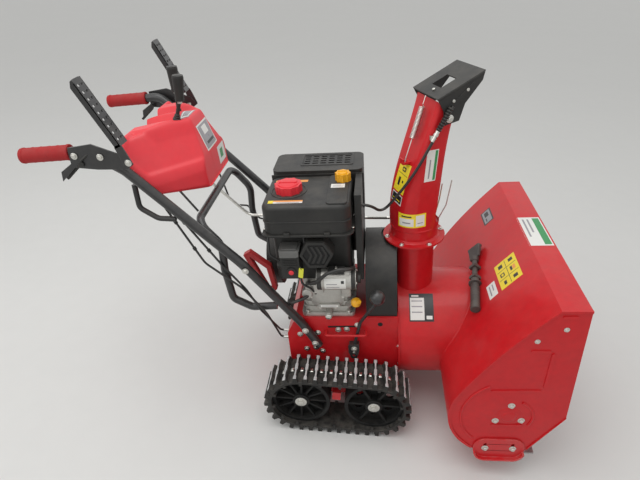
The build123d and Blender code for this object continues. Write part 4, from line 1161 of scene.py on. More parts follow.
    def build_starter(self) -> None:
        """End caps, through bolts, band and terminal of the electric starter."""
        y, z, r = -self.starter_y, self.starter_z, self.starter_r
        rear = [(-1, r - 6), (0, r - 1), (1, r + 0.8), (13, r + 0.8), (15, r - 2)]
        front = [(0, r - 1), (1, r + 0.8), (12, r + 0.8), (14.5, r - 3), (19, 13), (26, 12), (27, 8)]
        caps = Form().turned((72, y, z), AHEAD, rear, 40).turned((168, y, z), AHEAD, front, 40)
        caps.block((128, y - 8, z + r + 3), (46, 26, 10))
        caps.piece("starter_caps", BLACK_PLASTIC, edge=0.9)
        metal = Form()
        for across, height in around((y, z), r - 9, (-60, 60, 180)):
            metal.bolt((182, across, height), AHEAD, 4.4, washer=False)
        metal.turned((128, y - 8, z + r + 7), UP, [(0, 4.5), (3, 4.5), (3, 2.6), (9, 2.6)], 16)
        metal.piece("starter_bolts", ZINC)

    def build_crankcase(self) -> None:
        """Cover, blocks, bolts, drain pipe and dipstick on the crankcase."""
        face = -self.near
        x, z = self.cover_at
        screws = around(self.cover_at, self.cover_bolt_r, range(0, 360, 60))
        cover = Form().turned((x, face + 2, z), RIGHT, [(0, 54), (5, 54), (8, 50), (12, 34), (13, 20)], 48)
        for x, z in screws:
            cover.turned((x, face, z), RIGHT, [(0, 8.5), (7, 8.5), (8, 7.5)], 18)
        cover.block((58, face - 8, 462), (52, 22, 30))
        cover.block((150, face - 6, 452), (26, 18, 40))
        cover.turned((36, face, 446), RIGHT, [(0, 16), (20, 16), (23, 13), (23, 6)], 28)
        cover.block((98, face - 9, 398), (62, 14, 12))
        cover.turned((95, face, 372), RIGHT, [(0, 11), (28, 11), (30, 10)], 24)
        cover.turned((150, face + 4, 392), self.dipstick_way, [(0, 9), (46, 9)], 24)
        cover.piece("crankcase_cover", CAST, edge=0.9)
        bolts = Form().side_bolts(screws, self.near + 8, 4.4, washer=False)
        bolts.turned((95, face - 29, 372), RIGHT, [(0, 10), (7, 10), (8.5, 8)], 6)
        for x in (30, 154):
            bolts.bolt((x, -134, 367.5), UP, 5.6)
        bolts.piece("crankcase_bolts", ZINC)
        knob = [(0, 13), (3, 14.5), (12, 14.5), (15, 11), (20, 6), (30, 6)]
        dipstick = Form().turned((174, -156.5, 419), self.dipstick_way, knob, 12)
        dipstick.piece("dipstick_knob", YELLOW_PLASTIC, edge=0.8)

    def build_recoil(self) -> None:
        """Rim, spokes, hub and cord of the recoil starter's grille."""
        face = self.recoil_face
        form = Form()
        form.turned((face + 2, *self.recoil_at), BACK, [(0, 93), (3, 93), (4.4, 91), (4.4, 82), (2, 80)], 56)
        for i in range(self.recoil_spokes):
            turn = 360 / self.recoil_spokes * i
            spoke = oblong(around(self.recoil_at, 56, [turn])[0], 52, 7, turn)
            form.prism(spoke, face - 4, face + 1, "X")
        form.turned((face + 1, *self.recoil_at), BACK, [(0, 31), (5, 31), (7.5, 27), (8, 8)], 36)
        form.piece("recoil_grille", BLACK_PLASTIC, edge=0.7)
        cord = Form().tube([(-77, -111, 521), (-84, -114, 536), (-92, -116, 546)], 3.2, 6)
        cord.piece("recoil_cord", CABLE_BLACK)

    def build_hoses(self) -> None:
        """Fuel hoses and starter lead along the near side."""
        form = Form()
        for points, radius, corner in (
            ([(40, -134, 640), (44, -150, 600), (36, -150, 560)], 4.2, 16),
            ([(176, -164, 548), (166, -192, 560), (140, -200, 566), (104, -200, 552), (76, -194, 522),
              (52, -170, 498), (40, -136, 478)], 5.2, 26),
            ([(52, -134, 446), (30, -158, 437), (-10, -164, 424), (-40, -160, 416), (-60, -130, 420)], 5, 24),
            ([(20, -140, 520), (26, -160, 490), (50, -156, 470), (60, -140, 440)], 3.2, 16),
            ([(-30, -150, 560), (-60, -146, 580), (-64, -120, 620), (-56, -100, 650)], 3, 18),
        ):
            form.tube(points, radius, corner)
        form.piece("engine_hoses", CABLE_BLACK)

    def build(self) -> None:
        """Build the engine's details and dress its solids."""
        self.build_tank()
        self.build_cowl()
        self.build_guard()
        self.build_carburettor_box()
        self.build_starter()
        self.build_crankcase()
        self.build_recoil()
        self.build_hoses()
        dress_all(
            ("engine_block", CAST, 2.0), ("fuel_tank", BLACK_PLASTIC, 3.5), ("fuel_cap", RED_PLASTIC, 1.6),
            ("engine_cowl", BLACK_PLASTIC, 3.0), ("oil_filler_cap", YELLOW_PLASTIC, 1.2),
            ("blower_housing", BLACK_PLASTIC, 3.0), ("recoil_starter", BLACK_PLASTIC, 3.0),
            ("recoil_handle", DARK_RED_PLASTIC, 3.5), ("starter_motor", CAST, 1.5),
            ("carburettor_box", BLACK_PLASTIC, 2.5), ("muffler_guard", BLACK_PLASTIC, 2.5),
            ("belt_cover", BLACK_PLASTIC, 2.0))


@dataclass
class AugerHousing:
    """Auger housing with its hem, pressed ribs, bolts, drum seam and clean-out tool."""

    face: float = 355.0
    axis: tuple[float, float] = (590, 185)
    front: float = 738.0
    top: float = 551.0
    hem_r: float = 2.7
    wrap_r: float = 162.0
    wrap_top: tuple[float, float] = (449.7, 266)
    wrap_lean: float = 0.62
    drum_z: float = 232.0
    drum_r: float = 168.4
    bearing_bolts: Spots = ((592, 228), (555.5, 168), (623.4, 171))
    plate_bolts: Spots = ((626.5, 456), (688, 494))
    skid_bolts: Spots = ((537, 58), (613, 58))
    skid_proud: float = 5.3
    tool_paddle: tuple[float, float, float] = (552, 96, 441.4)
    tool_grip: tuple[float, float, float] = (517.5, -150, 396)

    def build_pressings(self) -> None:
        """Pressed dish and curved ribs round each bearing, and the hemmed front edge."""
        form = Form()
        x, z = self.axis
        dish = [(0, 36), (1.6, 33), (2.2, 20), (4.2, 18), (4.6, 12)]
        form.turned((x, -self.face + 0.5, z), RIGHT, dish, 48)
        for radius, start, end, steps, thick in ((62, -32, 62, 24, 3.6), (128, 118, 226, 30, 3.2)):
            rib = [Vector((u, -self.face - 0.2, v)) for u, v in arc(self.axis, radius, start, end, steps)]
            form.sweep(rib, thick, 10)
        form.piece("side_plate_pressings", RED_PAINT, mirrored=True)
        ends = [(self.front - 2.6, y, self.top - 2.9) for y in (-351, 351)]
        Form().tube(ends, self.hem_r, sides=14).piece("housing_front_hem", RED_WORN)

    def build_bolts(self) -> None:
        """Bolts of the bearings, the side plates and the skids."""
        form = Form()
        form.side_bolts(self.bearing_bolts, self.face, 6.4)
        form.side_bolts(self.plate_bolts, self.face, 4.6)
        form.side_bolts(self.skid_bolts, self.face + self.skid_proud, 6.6)
        form.piece("side_plate_bolts", ZINC, mirrored=True)

    def build_drum_seam(self) -> None:
        """Welded seam where the drum meets the wrapped sheet."""
        seam = arc((0, self.drum_z), self.drum_r, -60, 240, 70)
        form = Form().sweep([Vector((self.seam_x(z), y, z)) for y, z in seam], 2.4, 8)
        form.piece("drum_seam", RED_PAINT)

    def seam_x(self, z: float) -> float:
        """Where the wrapped sheet lies behind the auger at a height.

        Args:
            z: The height.

        Returns:
            Its X.
        """
        x, height = self.wrap_top
        if z <= height:
            return self.axis[0] - math.sqrt(max(0.0, self.wrap_r**2 - (z - self.axis[1]) ** 2))
        return x + (z - height) * self.wrap_lean

    def build_tool(self) -> None:
        """Ribbed grip sleeve, collar and ferrule on the clean-out tool's handle."""
        start, way = Vector(self.tool_paddle), heading(self.tool_paddle, self.tool_grip)
        sleeve = [(0, 10), (2, 13.4)]
        for run in range(6, 82, 10):
            sleeve += [(run, 13.6), (run + 1.5, 12.6), (run + 3, 13.6)]
        sleeve += [(88, 14.4), (92, 14.4), (94, 10)]
        form = Form()
        for run, profile, sides in (
            (168, sleeve, 28),
            (154, [(0, 10), (2, 19), (6, 19), (8, 12)], 28),
            (44, [(0, 12), (2, 13), (16, 11), (18, 9)], 20),
        ):
            form.turned(start + way * run, way, profile, sides)
        form.piece("tool_grip_sleeve", TOOL_PLASTIC, edge=0.5)

    def build(self) -> None:
        """Build the housing's details and dress its solids."""
        self.build_pressings()
        self.build_bolts()
        self.build_drum_seam()
        self.build_tool()
        dress_all(
            ("auger_housing", RED_PAINT, 0.8), ("side_plate_right", RED_PAINT, 1.3),
            ("side_plate_left", RED_PAINT, 1.3), ("impeller_housing", RED_PAINT, 1.0),
            ("auger_gearbox", CASE_IRON, 3.0), ("auger", RED_WORN, 0.6), ("impeller", RED_WORN, 0.8),
            ("skid_right", RED_WORN, 1.4), ("skid_left", RED_WORN, 1.4), ("scraper_bar", STEEL, 0.4),
            ("cleanout_tool", TOOL_PLASTIC, 2.5))


@dataclass
class Chute:
    """Chute with its flange bolts, spring and hinged deflector."""

    ring_z: float = 557.0
    collar_z: float = 596.0
    bolt_r: float = 82.0
    bolt_turns: tuple[float, ...] = (-118, -62, 12, 62, 128, 196)
    spring_low: tuple[float, float, float] = (-38, -14, 801.8)
    spring_top: tuple[float, float, float] = (18, -14, 970)
    pivot: tuple[float, float] = (58, 918)
    hood_half: float = 67.0
    wire_r: float = 1.35
    coil_r: float = 6.4
    coil_turns: int = 26
    coil_steps: int = 14
    coil_shares: tuple[float, float] = (0.36, 0.84)
    hook_run: float = 6.0

    def build_ring(self) -> None:
        """Lips, bolts and bent spring wires of the turning ring."""
        form = Form(Place.CHUTE)
        form.turned((0, 0, self.ring_z + 4.6), UP, [(0, 74), (0.5, 74.5), (4, 70.5), (7, 69)], 64)
        form.turned((0, 0, self.collar_z), UP, [(0, 69.2), (2, 70.4), (5, 70.4), (7, 69)], 64)
        form.piece("chute_lips", RED_PAINT, Body.CHUTE)
        bolts = Form()
        for x, y in around((CHUTE_X, 0), self.bolt_r, self.bolt_turns):
            bolts.bolt((x, y, self.ring_z + 5.4), UP, 5.0)
        bolts.tube([(413, 50, 564), (424, 56, 570), (448, 60, 619), (461, 60, 701)], 1.8, 14, 8)
        bolts.tube([(409, 58, 564), (414, 62, 570), (428, 62, 640), (434, 62, 690)], 1.8, 14, 8)
        bolts.piece("ring_bolts_and_wires", ZINC, Body.CHUTE)

    def build_spring_lug(self) -> None:
        """Folded lug on the channel's back that the spring hooks into."""
        lug = Form(Place.CHUTE).block((-40, -14, 796), (16, 22, 3)).block((-47, -14, 803), (3, 22, 14))
        lug.piece("spring_lug", RED_PAINT, Body.CHUTE, edge=0.4)

    def build_deflector(self) -> None:
        """Hinge bolts, rolled edges and cheek ribs of the deflector."""
        form = Form(Place.CHUTE)
        for side in (-1, 1):
            face = side * (self.hood_half + 3)
            form.bolt((self.pivot[0], face, self.pivot[1]), (0, side, 0), 7.0)
            for x, z in ((104, 985), (66, 962)):
                form.bolt((x, face, z), (0, side, 0), 4.4, washer=False)
        form.bolt((40, -14, 981.6), (-0.4, 0, 0.92), 4.6, washer=False)
        form.piece("deflector_bolts", ZINC, Body.DEFLECTOR)
        trim = Form(Place.CHUTE)
        for y in (-68, 68):
            trim.tube([(24, y, 969), (148, y, 1022)], 3.0)
        trim.tube([(146.5, -67, 1021.5), (146.5, 67, 1021.5)], 2.6)
        rib = rounded([(52, 936), (96, 968), (126, 1000), (118, 1002), (88, 976), (50, 948)], 4)
        for side in (-1, 1):
            trim.prism(rib, side * (self.hood_half + 2), side * (self.hood_half + 4.6))
        trim.piece("deflector_trim", BLACK_PLASTIC, Body.DEFLECTOR, edge=0.6)

    def build_spring(self) -> None:
        """Coiled spring with its hooked ends, drawn between lug and deflector."""
        low, top = Vector(self.spring_low), Vector(self.spring_top)
        way, length = heading(low, top), (top - low).length
        u, v = frame_round(way)
        coil_from, coil_to = (share * length for share in self.coil_shares)
        line = [low, low + way * (coil_from - self.hook_run)]
        steps = self.coil_turns * self.coil_steps
        for i in range(steps + 1):
            t = 2 * math.pi * self.coil_turns * i / steps
            run = coil_from + (coil_to - coil_from) * i / steps
            line.append(low + way * run + (u * math.cos(t) + v * math.sin(t)) * self.coil_r)
        line += [low + way * (coil_to + self.hook_run), top]
        form = Form(Place.CHUTE)
        form.sweep(line, self.wire_r, 6)
        form.turned(low - way * 2, way, [(0, 4), (5, 4)], 12)
        spring = form.piece("spring_coil", ZINC, None, replaces=("deflector_spring",))
        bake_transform(spring)

    def build(self) -> None:
        """Build the chute's details and dress its solids."""
        self.build_ring()
        self.build_spring_lug()
        self.build_deflector()
        self.build_spring()
        dress_all(("chute", RED_PAINT, 1.2), ("deflector", BLACK_PLASTIC, 0.8))


def on_chute(out: float, side: float, height: float) -> Vector:
    """Point in the level frame, given out from the chute's axis, to its left and up."""
    return Vector((CHUTE_X + out * math.cos(THROW) - side * math.sin(THROW),
                   out * math.sin(THROW) + side * math.cos(THROW), height))


def held_cable(name: str, points: Sequence[Point], radius: float) -> bpy.types.Object:
    """A cable of round section along held points, as a mesh.

    Args:
        name: The piece's name.
        points: Points it is held at, in metres.
        radius: Its radius in millimetres.

    Returns:
        The new mesh object.
    """
    curve = bpy.data.curves.new(name, "CURVE")
    curve.dimensions = "3D"
    curve.bevel_depth = radius * MM
    curve.bevel_resolution = 4
    curve.resolution_u = 12
    curve.use_fill_caps = True
    spline = curve.splines.new("NURBS")
    spline.points.add(len(points) - 1)
    for spot, point in zip(spline.points, points):
        spot.co = (*point, 1)
    spline.order_u = 3
    spline.use_endpoint_u = True
    drawn = linked(name + "_route", curve)
    data = bpy.data.meshes.new_from_object(drawn.evaluated_get(bpy.context.evaluated_depsgraph_get()))
    bpy.data.objects.remove(drawn)
    data.polygons.foreach_set("use_smooth", [True] * len(data.polygons))
    return linked(name, data)


@dataclass
class Cables:
    """Control cables with their adjusters, clips and bellows."""

    chute_route: tuple[Vector, ...] = (
        on_chute(64, -74.3, 950), on_chute(30, -76, 900), on_chute(10, -76, 868), on_chute(-30, -68, 790),
        on_chute(-72, -36, 710), Vector((256, -48, 656)), Vector((224, -96, 706)), Vector((202, -96, 706)))
    wire_routes: tuple = (
        [(-334, -190, 822), (-228, -204, 594), (-136, -206, 510), (-80, -199, 415), (-62, -140, 272),
         (-40.4, -140, 272)],
        [(-334, -183.6, 824), (-182, -199, 581), (-128, -199, 500), (-96, -198, 425), (-66, -120, 282),
         (-40.4, -120, 282)],
    )
    folds: int = 9

    def build_chute_cable(self) -> None:
        """Deflector cable from the channel's side to the cowl, a fixed mesh attached to no body."""
        matrix = Place.CHASSIS.matrix
        points = [tuple(matrix @ point) for point in self.chute_route]
        cable = held_cable("deflector_cable", points, 4.0)
        cable.data.materials.append(CABLE_BLACK.material())
        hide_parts("chute_cable")
        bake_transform(cable)

    def build_bellows(self) -> None:
        """Bellows and threaded adjuster at the deflector cable's upper end."""
        top, end = Vector((58, -75, 948)), Vector((24, -75.4, 893))
        way, length = heading(top, end), (end - top).length
        profile = []
        for i in range(self.folds):
            run = length * i / self.folds
            profile += [(run, 5.2), (run + 3.4, 8.2)]
        bellows = Form(Place.CHUTE).turned(top, way, profile + [(length, 5)], 20)
        bellows.piece("cable_bellows", CABLE_BLACK, Body.CHUTE, smooth=60)
        barrel = Form(Place.CHUTE)
        barrel.turned(end, way, [(0, 5.4), (8, 5.4), (8.2, 6.6), (14, 6.6), (14.2, 4.8), (30, 4.8)], 18)
        barrel.block(end + way * 20 + Vector((0, 6, 0)), (16, 6, 12))
        barrel.piece("cable_adjuster", ZINC, Body.CHUTE, edge=0.3)

    def build_adjusters(self) -> None:
        """Threaded adjusters at both ends of the clutch cables, and clips between them."""
        form, clips = Form(), Form()
        for route in self.wire_routes:
            form.turned(route[-1], heading(route[-1], route[-2]), [(0, 5), (5, 5), (5.2, 3.9), (16, 3.9)], 6)
            start, after, way = Vector(route[0]), Vector(route[1]), heading(route[0], route[1])
            form.turned(start + way * 26, way, [(0, 3.4), (1, 5.2), (12, 5.2), (13, 4), (34, 4)], 14)
            for share in (0.45, 0.8):
                spot = start + (after - start) * share
                clips.turned(spot - way * 5, way, [(0, 3.6), (0.8, 5), (9, 5), (10, 3.6)], 16)
        form.piece("cable_adjusters", ZINC)
        clips.piece("cable_clips", BLACK_PLASTIC)

    def build(self) -> None:
        """Build the cables' details and dress their solids."""
        self.build_chute_cable()
        self.build_bellows()
        self.build_adjusters()
        dress_all(
            ("control_cables", CABLE_BLACK, 0.2), ("cable_conduit", CABLE_BLACK, 0.2),
            ("crank_rod", ZINC, 0.2))


@dataclass
class Handles:
    """Handlebars with foam grips, slotted clutch paddles, triggers and their fasteners."""

    grip_y: float = 235.0
    grip_end: float = 613.0
    grip_swells: int = 4
    paddle_foot: tuple[float, float] = (-345, 955)
    paddle_top: tuple[float, float] = (-412, 1106)
    paddle_out: float = 254.3
    paddle_wide: float = 38.0
    paddle_thick: float = 2.6
    paddle_tall: float = 162.5
    slot_rows: int = 9
    slot_inset: float = 11.5
    slot_pitch: float = 17.2
    bracket_bolts: Spots = ((-338, 913), (-404, 930), (-468, 935))
    bar_bolts: Spots = ((48, 273), (22, 323))

    def paddle_point(self, run: float, across: float, deep: float) -> Vector:
        """A point on the right paddle: up its web, across it from the outside, and behind its face.

        Args:
            run: Distance up the web.
            across: Distance from its outer side.
            deep: Distance behind its face.

        Returns:
            The point.
        """
        foot, way = Vector(self.paddle_foot), heading(self.paddle_foot, self.paddle_top)
        spot = foot + way * run - Vector((way.y, -way.x)) * deep
        return Vector((spot.x, -self.paddle_out + across, spot.y))

    def build_paddles(self) -> None:
        """Clutch paddles: a folded channel with two columns of slots, and its arm."""
        wide, thick, tall = self.paddle_wide, self.paddle_thick, self.paddle_tall
        corners = [(0, 0), (wide, 0), (wide, tall), (wide - 5, tall + 8), (5, tall + 8), (0, tall)]
        holes = []
        for i in range(self.slot_rows):
            for column in (self.slot_inset, wide - self.slot_inset):
                holes.append(oblong((column, 16 + i * self.slot_pitch), 10, 5.6, 0, 4))
        web = Form().prism(rounded(corners, 4, 4), 0, thick, "Y", holes)
        for vert in web.mesh.verts:
            across, deep, run = vert.co
            vert.co = self.paddle_point(run, across, deep)
        fold = [(0, 0), (0, 15), (tall - 6, 15), (tall + 6, 6), (tall + 7, 0)]
        for across in (0.0, wide - thick):
            steps = (across, across + thick)
            web.skin([[self.paddle_point(run, step, deep) for run, deep in fold] for step in steps])
        arm = [(-350, 905), (-326, 905), (-338, 942), (-345, 960), (-363, 955), (-356, 930)]
        web.prism(rounded(arm, 6), -self.paddle_out, -self.paddle_out + 3)
        web.piece("clutch_paddles", BLACK_PAINT, edge=0.5,
                  replaces=("clutch_lever_right", "clutch_lever_left"), mirrored=True)

    def build_grips(self) -> None:
        """Rolled ends and shallow hand swells of the foam grips."""
        back, front = Vector((-self.grip_end, -self.grip_y, 934)), Vector((-485, -self.grip_y, 938.4))
        way = heading(back, front)
        form = Form()
        form.turned(back + way * 0.4, way, [(0, 12), (0.6, 17), (3, 19.3), (6, 19.6), (9, 18.9)], 36)
        form.turned(front - way * 9, way, [(0, 18.9), (3, 19.8), (7, 19.8), (9, 18)], 36)
        for i in range(self.grip_swells):
            form.turned(back + way * (26 + i * 22), way, [(0, 18.4), (5, 19.1), (10, 18.4)], 36)
        form.piece("grip_swells", GRIP_RUBBER, mirrored=True)

    def build_bolts(self) -> None:
        """Bolts of the lever brackets and the folding handlebars."""
        bolts = Form()
        bolts.side_bolts(self.bracket_bolts, self.grip_y + 18.8, 5.6)
        bolts.side_bolts(self.bar_bolts, 171.2, 6.8)
        bolts.side_bolts([(-110, 584)], 231, 6.0)
        bolts.piece("handle_bolts", ZINC, mirrored=True)

    def build_triggers(self) -> None:
        """Blades, pivots and links of the triggers under the grips."""
        line = [(-466, 914), (-474, 900), (-514, 868), (-519, 873), (-482, 906), (-474, 918)]
        blades = Form().prism(rounded(line, 2.5), -239, -231)
        blades.turned((-456, -252.2, 914), RIGHT, [(0, 6), (2, 7), (4, 7), (5, 6)], 24)
        blades.tube([(-430, -248, 940), (-452, -256, 925), (-470, -250, 905)], 3, 10)
        blades.piece("trigger_blades", BLACK_PLASTIC, edge=0.8, mirrored=True)

    def build(self) -> None:
        """Build the handles' details and dress their solids."""
        self.build_paddles()
        self.build_grips()
        self.build_bolts()
        self.build_triggers()
        for side in ("right", "left"):
            dress_all((f"handlebar_{side}", BLACK_PAINT, 0.4), (f"grip_{side}", GRIP_RUBBER, 3.0),
                      (f"lever_bracket_{side}", BLACK_PAINT, 0.6))
        dress_all(
            ("handle_brace", BLACK_PAINT, 0.4), ("height_lever", BLACK_PAINT, 0.8),
            ("lever_guide", RED_PAINT, 0.4))


@dataclass
class Console:
    """Moulded hood between the handlebars, open below, with a channel behind each shift lever."""

    half: float = 205.0
    wall: float = 3.0
    corner: float = 13.0
    rear_corner: float = 4.0
    rear: float = -389.4
    nose: float = -206.5
    skirt: Spots = ((-392, 893), (-385, 892), (-334, 804), (-205, 773))
    skirt_rise: float = 2.0
    nose_lean: float = 1.12
    nose_blend: float = 5.0
    slopes: tuple[Slope, ...] = (
        (944, -390, 0.143), (958, -292, -0.174), (950, -246, -2.81), (860, -214, -20))
    end_slope: Slope = (962, 150, -1.25)
    facet_slope: Slope = (832, 0, 1.8)
    facet_start: tuple[float, float] = (-206, 96)
    facet_run: tuple[float, float, float] = (109, 122, 163.6)
    panel_deep: float = 8.0
    panel_inner: tuple[float, float, float] = (118, 62, 13)
    panel_front: tuple[float, float] = (8, 20)
    panel_ends: tuple[float, float] = (184, 196)
    panel_rear: tuple[float, float] = (-384, -370)
    channels: tuple[float, float] = (-40.0, 40.0)
    channel_r: float = 34.0
    channel_round: float = 0.91
    channel_side: float = 2.2
    channel_floor: Slope = (982, -268, 0.384)
    blend: float = 3.0
    ring_step: float = 3.0
    run_steps: int = 52
    run_power: float = 1.6
    rear_steps: int = 8
    edge_steps: int = 4
    bolts: Spots = ((-364, 868), (-346, 838))
    levers: tuple = (
        ((-285.8, -40, 947.4), (-266, -40, 1000), (-258, -40, 1062)),
        ((-308.8, 40, 938.7), (-304, 40, 1006), (-301, 40, 1069)),
    )

    def low(self, x: float) -> float:
        """Height of the skirt's edge.

        Args:
            x: Place along the hood.

        Returns:
            The height.
        """
        for (x0, z0), (x1, z1) in zip(self.skirt, self.skirt[1:]):
            if x <= x1:
                return z0 + (z1 - z0) * (max(x, x0) - x0) / (x1 - x0)
        return self.skirt[-1][1]

    def top(self, x: float, y: float) -> float:
        """Height of the hood's outer skin before its edges are rounded.

        Args:
            x: Place along the hood.
            y: Place across it.

        Returns:
            The height.
        """
        far = abs(y)
        along, across, length = self.facet_run
        facet = ((self.facet_start[0] - x) * along + (self.facet_start[1] - far) * across) / length
        planes = [on_slope(slope, x) for slope in self.slopes]
        planes += [on_slope(self.end_slope, far), on_slope(self.facet_slope, facet)]
        middle, reach, blend = self.panel_inner
        sunk = smooth_step(max(far - middle, reach - facet), 0, blend) * smooth_step(facet, *self.panel_front)
        sunk *= (1 - smooth_step(far, *self.panel_ends)) * smooth_step(x, *self.panel_rear)
        planes = [height - self.panel_deep * sunk for height in planes]
        for centre in self.channels:
            off = abs(y - centre)
            inside = min(off, self.channel_r * self.channel_round)
            floor = on_slope(self.channel_floor, x) - math.sqrt(self.channel_r**2 - inside**2)
            planes.append(floor + (off - inside) * self.channel_side)
        return soft_min(planes, self.blend)

    def bend(self, gap: float, radius: float) -> float:
        """How far the skin has dropped at a distance from a rounded edge."""
        inside = max(0.0, radius - gap)
        return radius - math.sqrt(max(0.0, radius**2 - inside**2))

    def section(self, y: float, share: float = 1.0) -> list[Point]:
        """One lengthwise section of the skin, from its rear edge over the top to its front edge.

        Args:
            y: Place across the hood.
            share: Share of the full height, below one down the hood's flat ends.

        Returns:
            The section's points.
        """
        pull = self.bend(self.half - abs(y), self.rear_corner)
        rear = self.rear + pull
        leaning = self.nose - (abs(y) - self.facet_start[1]) * self.nose_lean
        nose = soft_min([self.nose, leaning], self.nose_blend) - pull
        runs = [rear + self.rear_corner * (1 - math.cos(math.radians(turn))) for turn in range(0, 91, 15)]
        shares = [1 - (1 - k / self.run_steps) ** self.run_power for k in range(1, self.run_steps + 1)]
        runs += [runs[-1] + (nose - runs[-1]) * part for part in shares]
        line = []
        for x in runs:
            drop = self.bend(x - rear, self.rear_corner) + self.bend(nose - x, self.corner)
            drop += self.bend(self.half - abs(y), self.corner)
            line.append((x, max(self.low(x) + self.skirt_rise, self.top(x, y) - drop)))
        corner, rear_foot, nose_foot = self.skirt[2], (rear, self.low(rear)), (nose, self.low(nose))
        back = between(corner, rear_foot, self.rear_steps) + between(rear_foot, line[0], self.edge_steps)
        front = between(nose_foot, line[-1], self.edge_steps)[::-1]
        return [(x, y, self.low(x) + (z - self.low(x)) * share) for x, z in back + line + front]

    def build_hood(self) -> None:
        """The hood's skin from its skirt up and over, given a wall."""
        end_shares = (0.0, 0.34, 0.67)
        turns = [self.half - self.corner * (1 - math.cos(math.radians(turn))) for turn in range(0, 90, 15)]
        flat_half = self.half - self.corner
        flat = [flat_half - k * self.ring_step for k in range(round(2 * flat_half / self.ring_step) + 1)]
        rings = [self.section(self.half, share) for share in end_shares]
        rings += [self.section(y) for y in turns + flat + [-y for y in reversed(turns)]]
        rings += [self.section(-self.half, share) for share in reversed(end_shares)]
        form = Form().skin(rings, closed=False, capped=False)
        bmesh.ops.remove_doubles(form.mesh, verts=form.mesh.verts, dist=0.1)
        hood = form.piece("console_hood", RED_PLASTIC, smooth=60, replaces=("console",))
        wall = hood.modifiers.new("wall", "SOLIDIFY")
        wall.thickness = self.wall * MM
        wall.offset = -1

    def build_levers(self) -> None:
        """Boots, nuts and knobs of the shift levers."""
        form, steel = Form(), Form()
        for foot, neck, top in self.levers:
            low, way, length = Vector(neck), heading(neck, top), (Vector(top) - Vector(neck)).length
            knob = [(0, 8), (1, 11.5), (6, 12.2), (8, 11.2), (length * 0.6, 13.6), (length - 3, 15),
                    (length + 1, 14.4), (length + 4, 10), (length + 5, 3)]
            form.turned(low - way * 4, way, knob, 32)
            boot = [(0, 11), (4, 10.5), (6, 8), (9, 9), (11, 7), (14, 7.6), (17, 5.6)]
            form.turned(Vector(foot) - heading(foot, neck), heading(foot, neck), boot, 28)
            steel.turned(low - way * 10, way, [(0, 6.5), (6, 6.5)], 6)
        form.piece("lever_knobs_and_boots", BLACK_PLASTIC, edge=0.5)
        steel.piece("lever_nuts", ZINC)

    def build(self) -> None:
        """Build the hood with its bolts and the levers' details, and dress the levers."""
        self.build_hood()
        bolts = Form().side_bolts(self.bolts, self.half, 6.0)
        bolts.piece("console_bolts", ZINC, mirrored=True)
        self.build_levers()
        dress("shift_levers", BLACK_PLASTIC, 1.0)


Box = tuple[float, float, float, float]

ACROSS = (0, -1, 0)
ALONG = (1, 0, 0)
TO_LEFT = (0, 1, 0)
UPRIGHT = (0, 0, 1)


@dataclass(frozen=True)
class Patch:
    """A field of a blank label, in shares of the label's width and height."""

    finish: Finish
    box: Box = (0, 0, 1, 1)
    lift: float = 0.4


@dataclass(frozen=True)
class Label:
    """A blank label: where it sits, its size, its ground and the plain fields of colour on it."""

    on: str
    centre: tuple[float, float, float]
    across: tuple[float, float, float]
    up: tuple[float, float, float]
    size: tuple[float, float]
    ground: Finish
    fields: tuple[Patch, ...]

    @property
    def place(self) -> Place:
        """The frame that the label is drawn in."""
        return Place.CHUTE if self.on == "chute" else Place.CHASSIS

    @property
    def body(self) -> Body:
        """The body that the label moves with."""
        return Body.CHUTE if self.on == "chute" else Body.CHASSIS

    @property
    def patches(self) -> tuple[Patch, ...]:
        """The ground and all fields, in order."""
        return (Patch(self.ground, lift=0.25), *self.fields)


def fields_of(finish: Finish, *boxes: Box, lift: float = 0.4) -> tuple[Patch, ...]:
    """Several fields of one colour."""
    return tuple(Patch(finish, box, lift) for box in boxes)


def warning_fields(ground: Finish, mark: Finish) -> tuple[Patch, ...]:
    """Fields of a label ruled into six cells with a plain mark in each.

    Args:
        ground: The label's own finish.
        mark: Finish of the rules and marks.

    Returns:
        The fields.
    """
    rules = ((0.33, 0.05, 0.345, 0.95), (0.66, 0.05, 0.675, 0.95), (0.04, 0.49, 0.96, 0.51))
    marks = ((0.1, 0.16, 0.24, 0.36), (0.44, 0.14, 0.58, 0.34), (0.76, 0.2, 0.9, 0.32),
             (0.1, 0.66, 0.22, 0.86), (0.42, 0.62, 0.58, 0.72), (0.78, 0.64, 0.9, 0.84))
    return (*fields_of(mark, *rules, *marks), Patch(ground, (0.47, 0.19, 0.55, 0.29), 0.5),
            Patch(LABEL_ORANGE, (0.42, 0.74, 0.58, 0.86)))


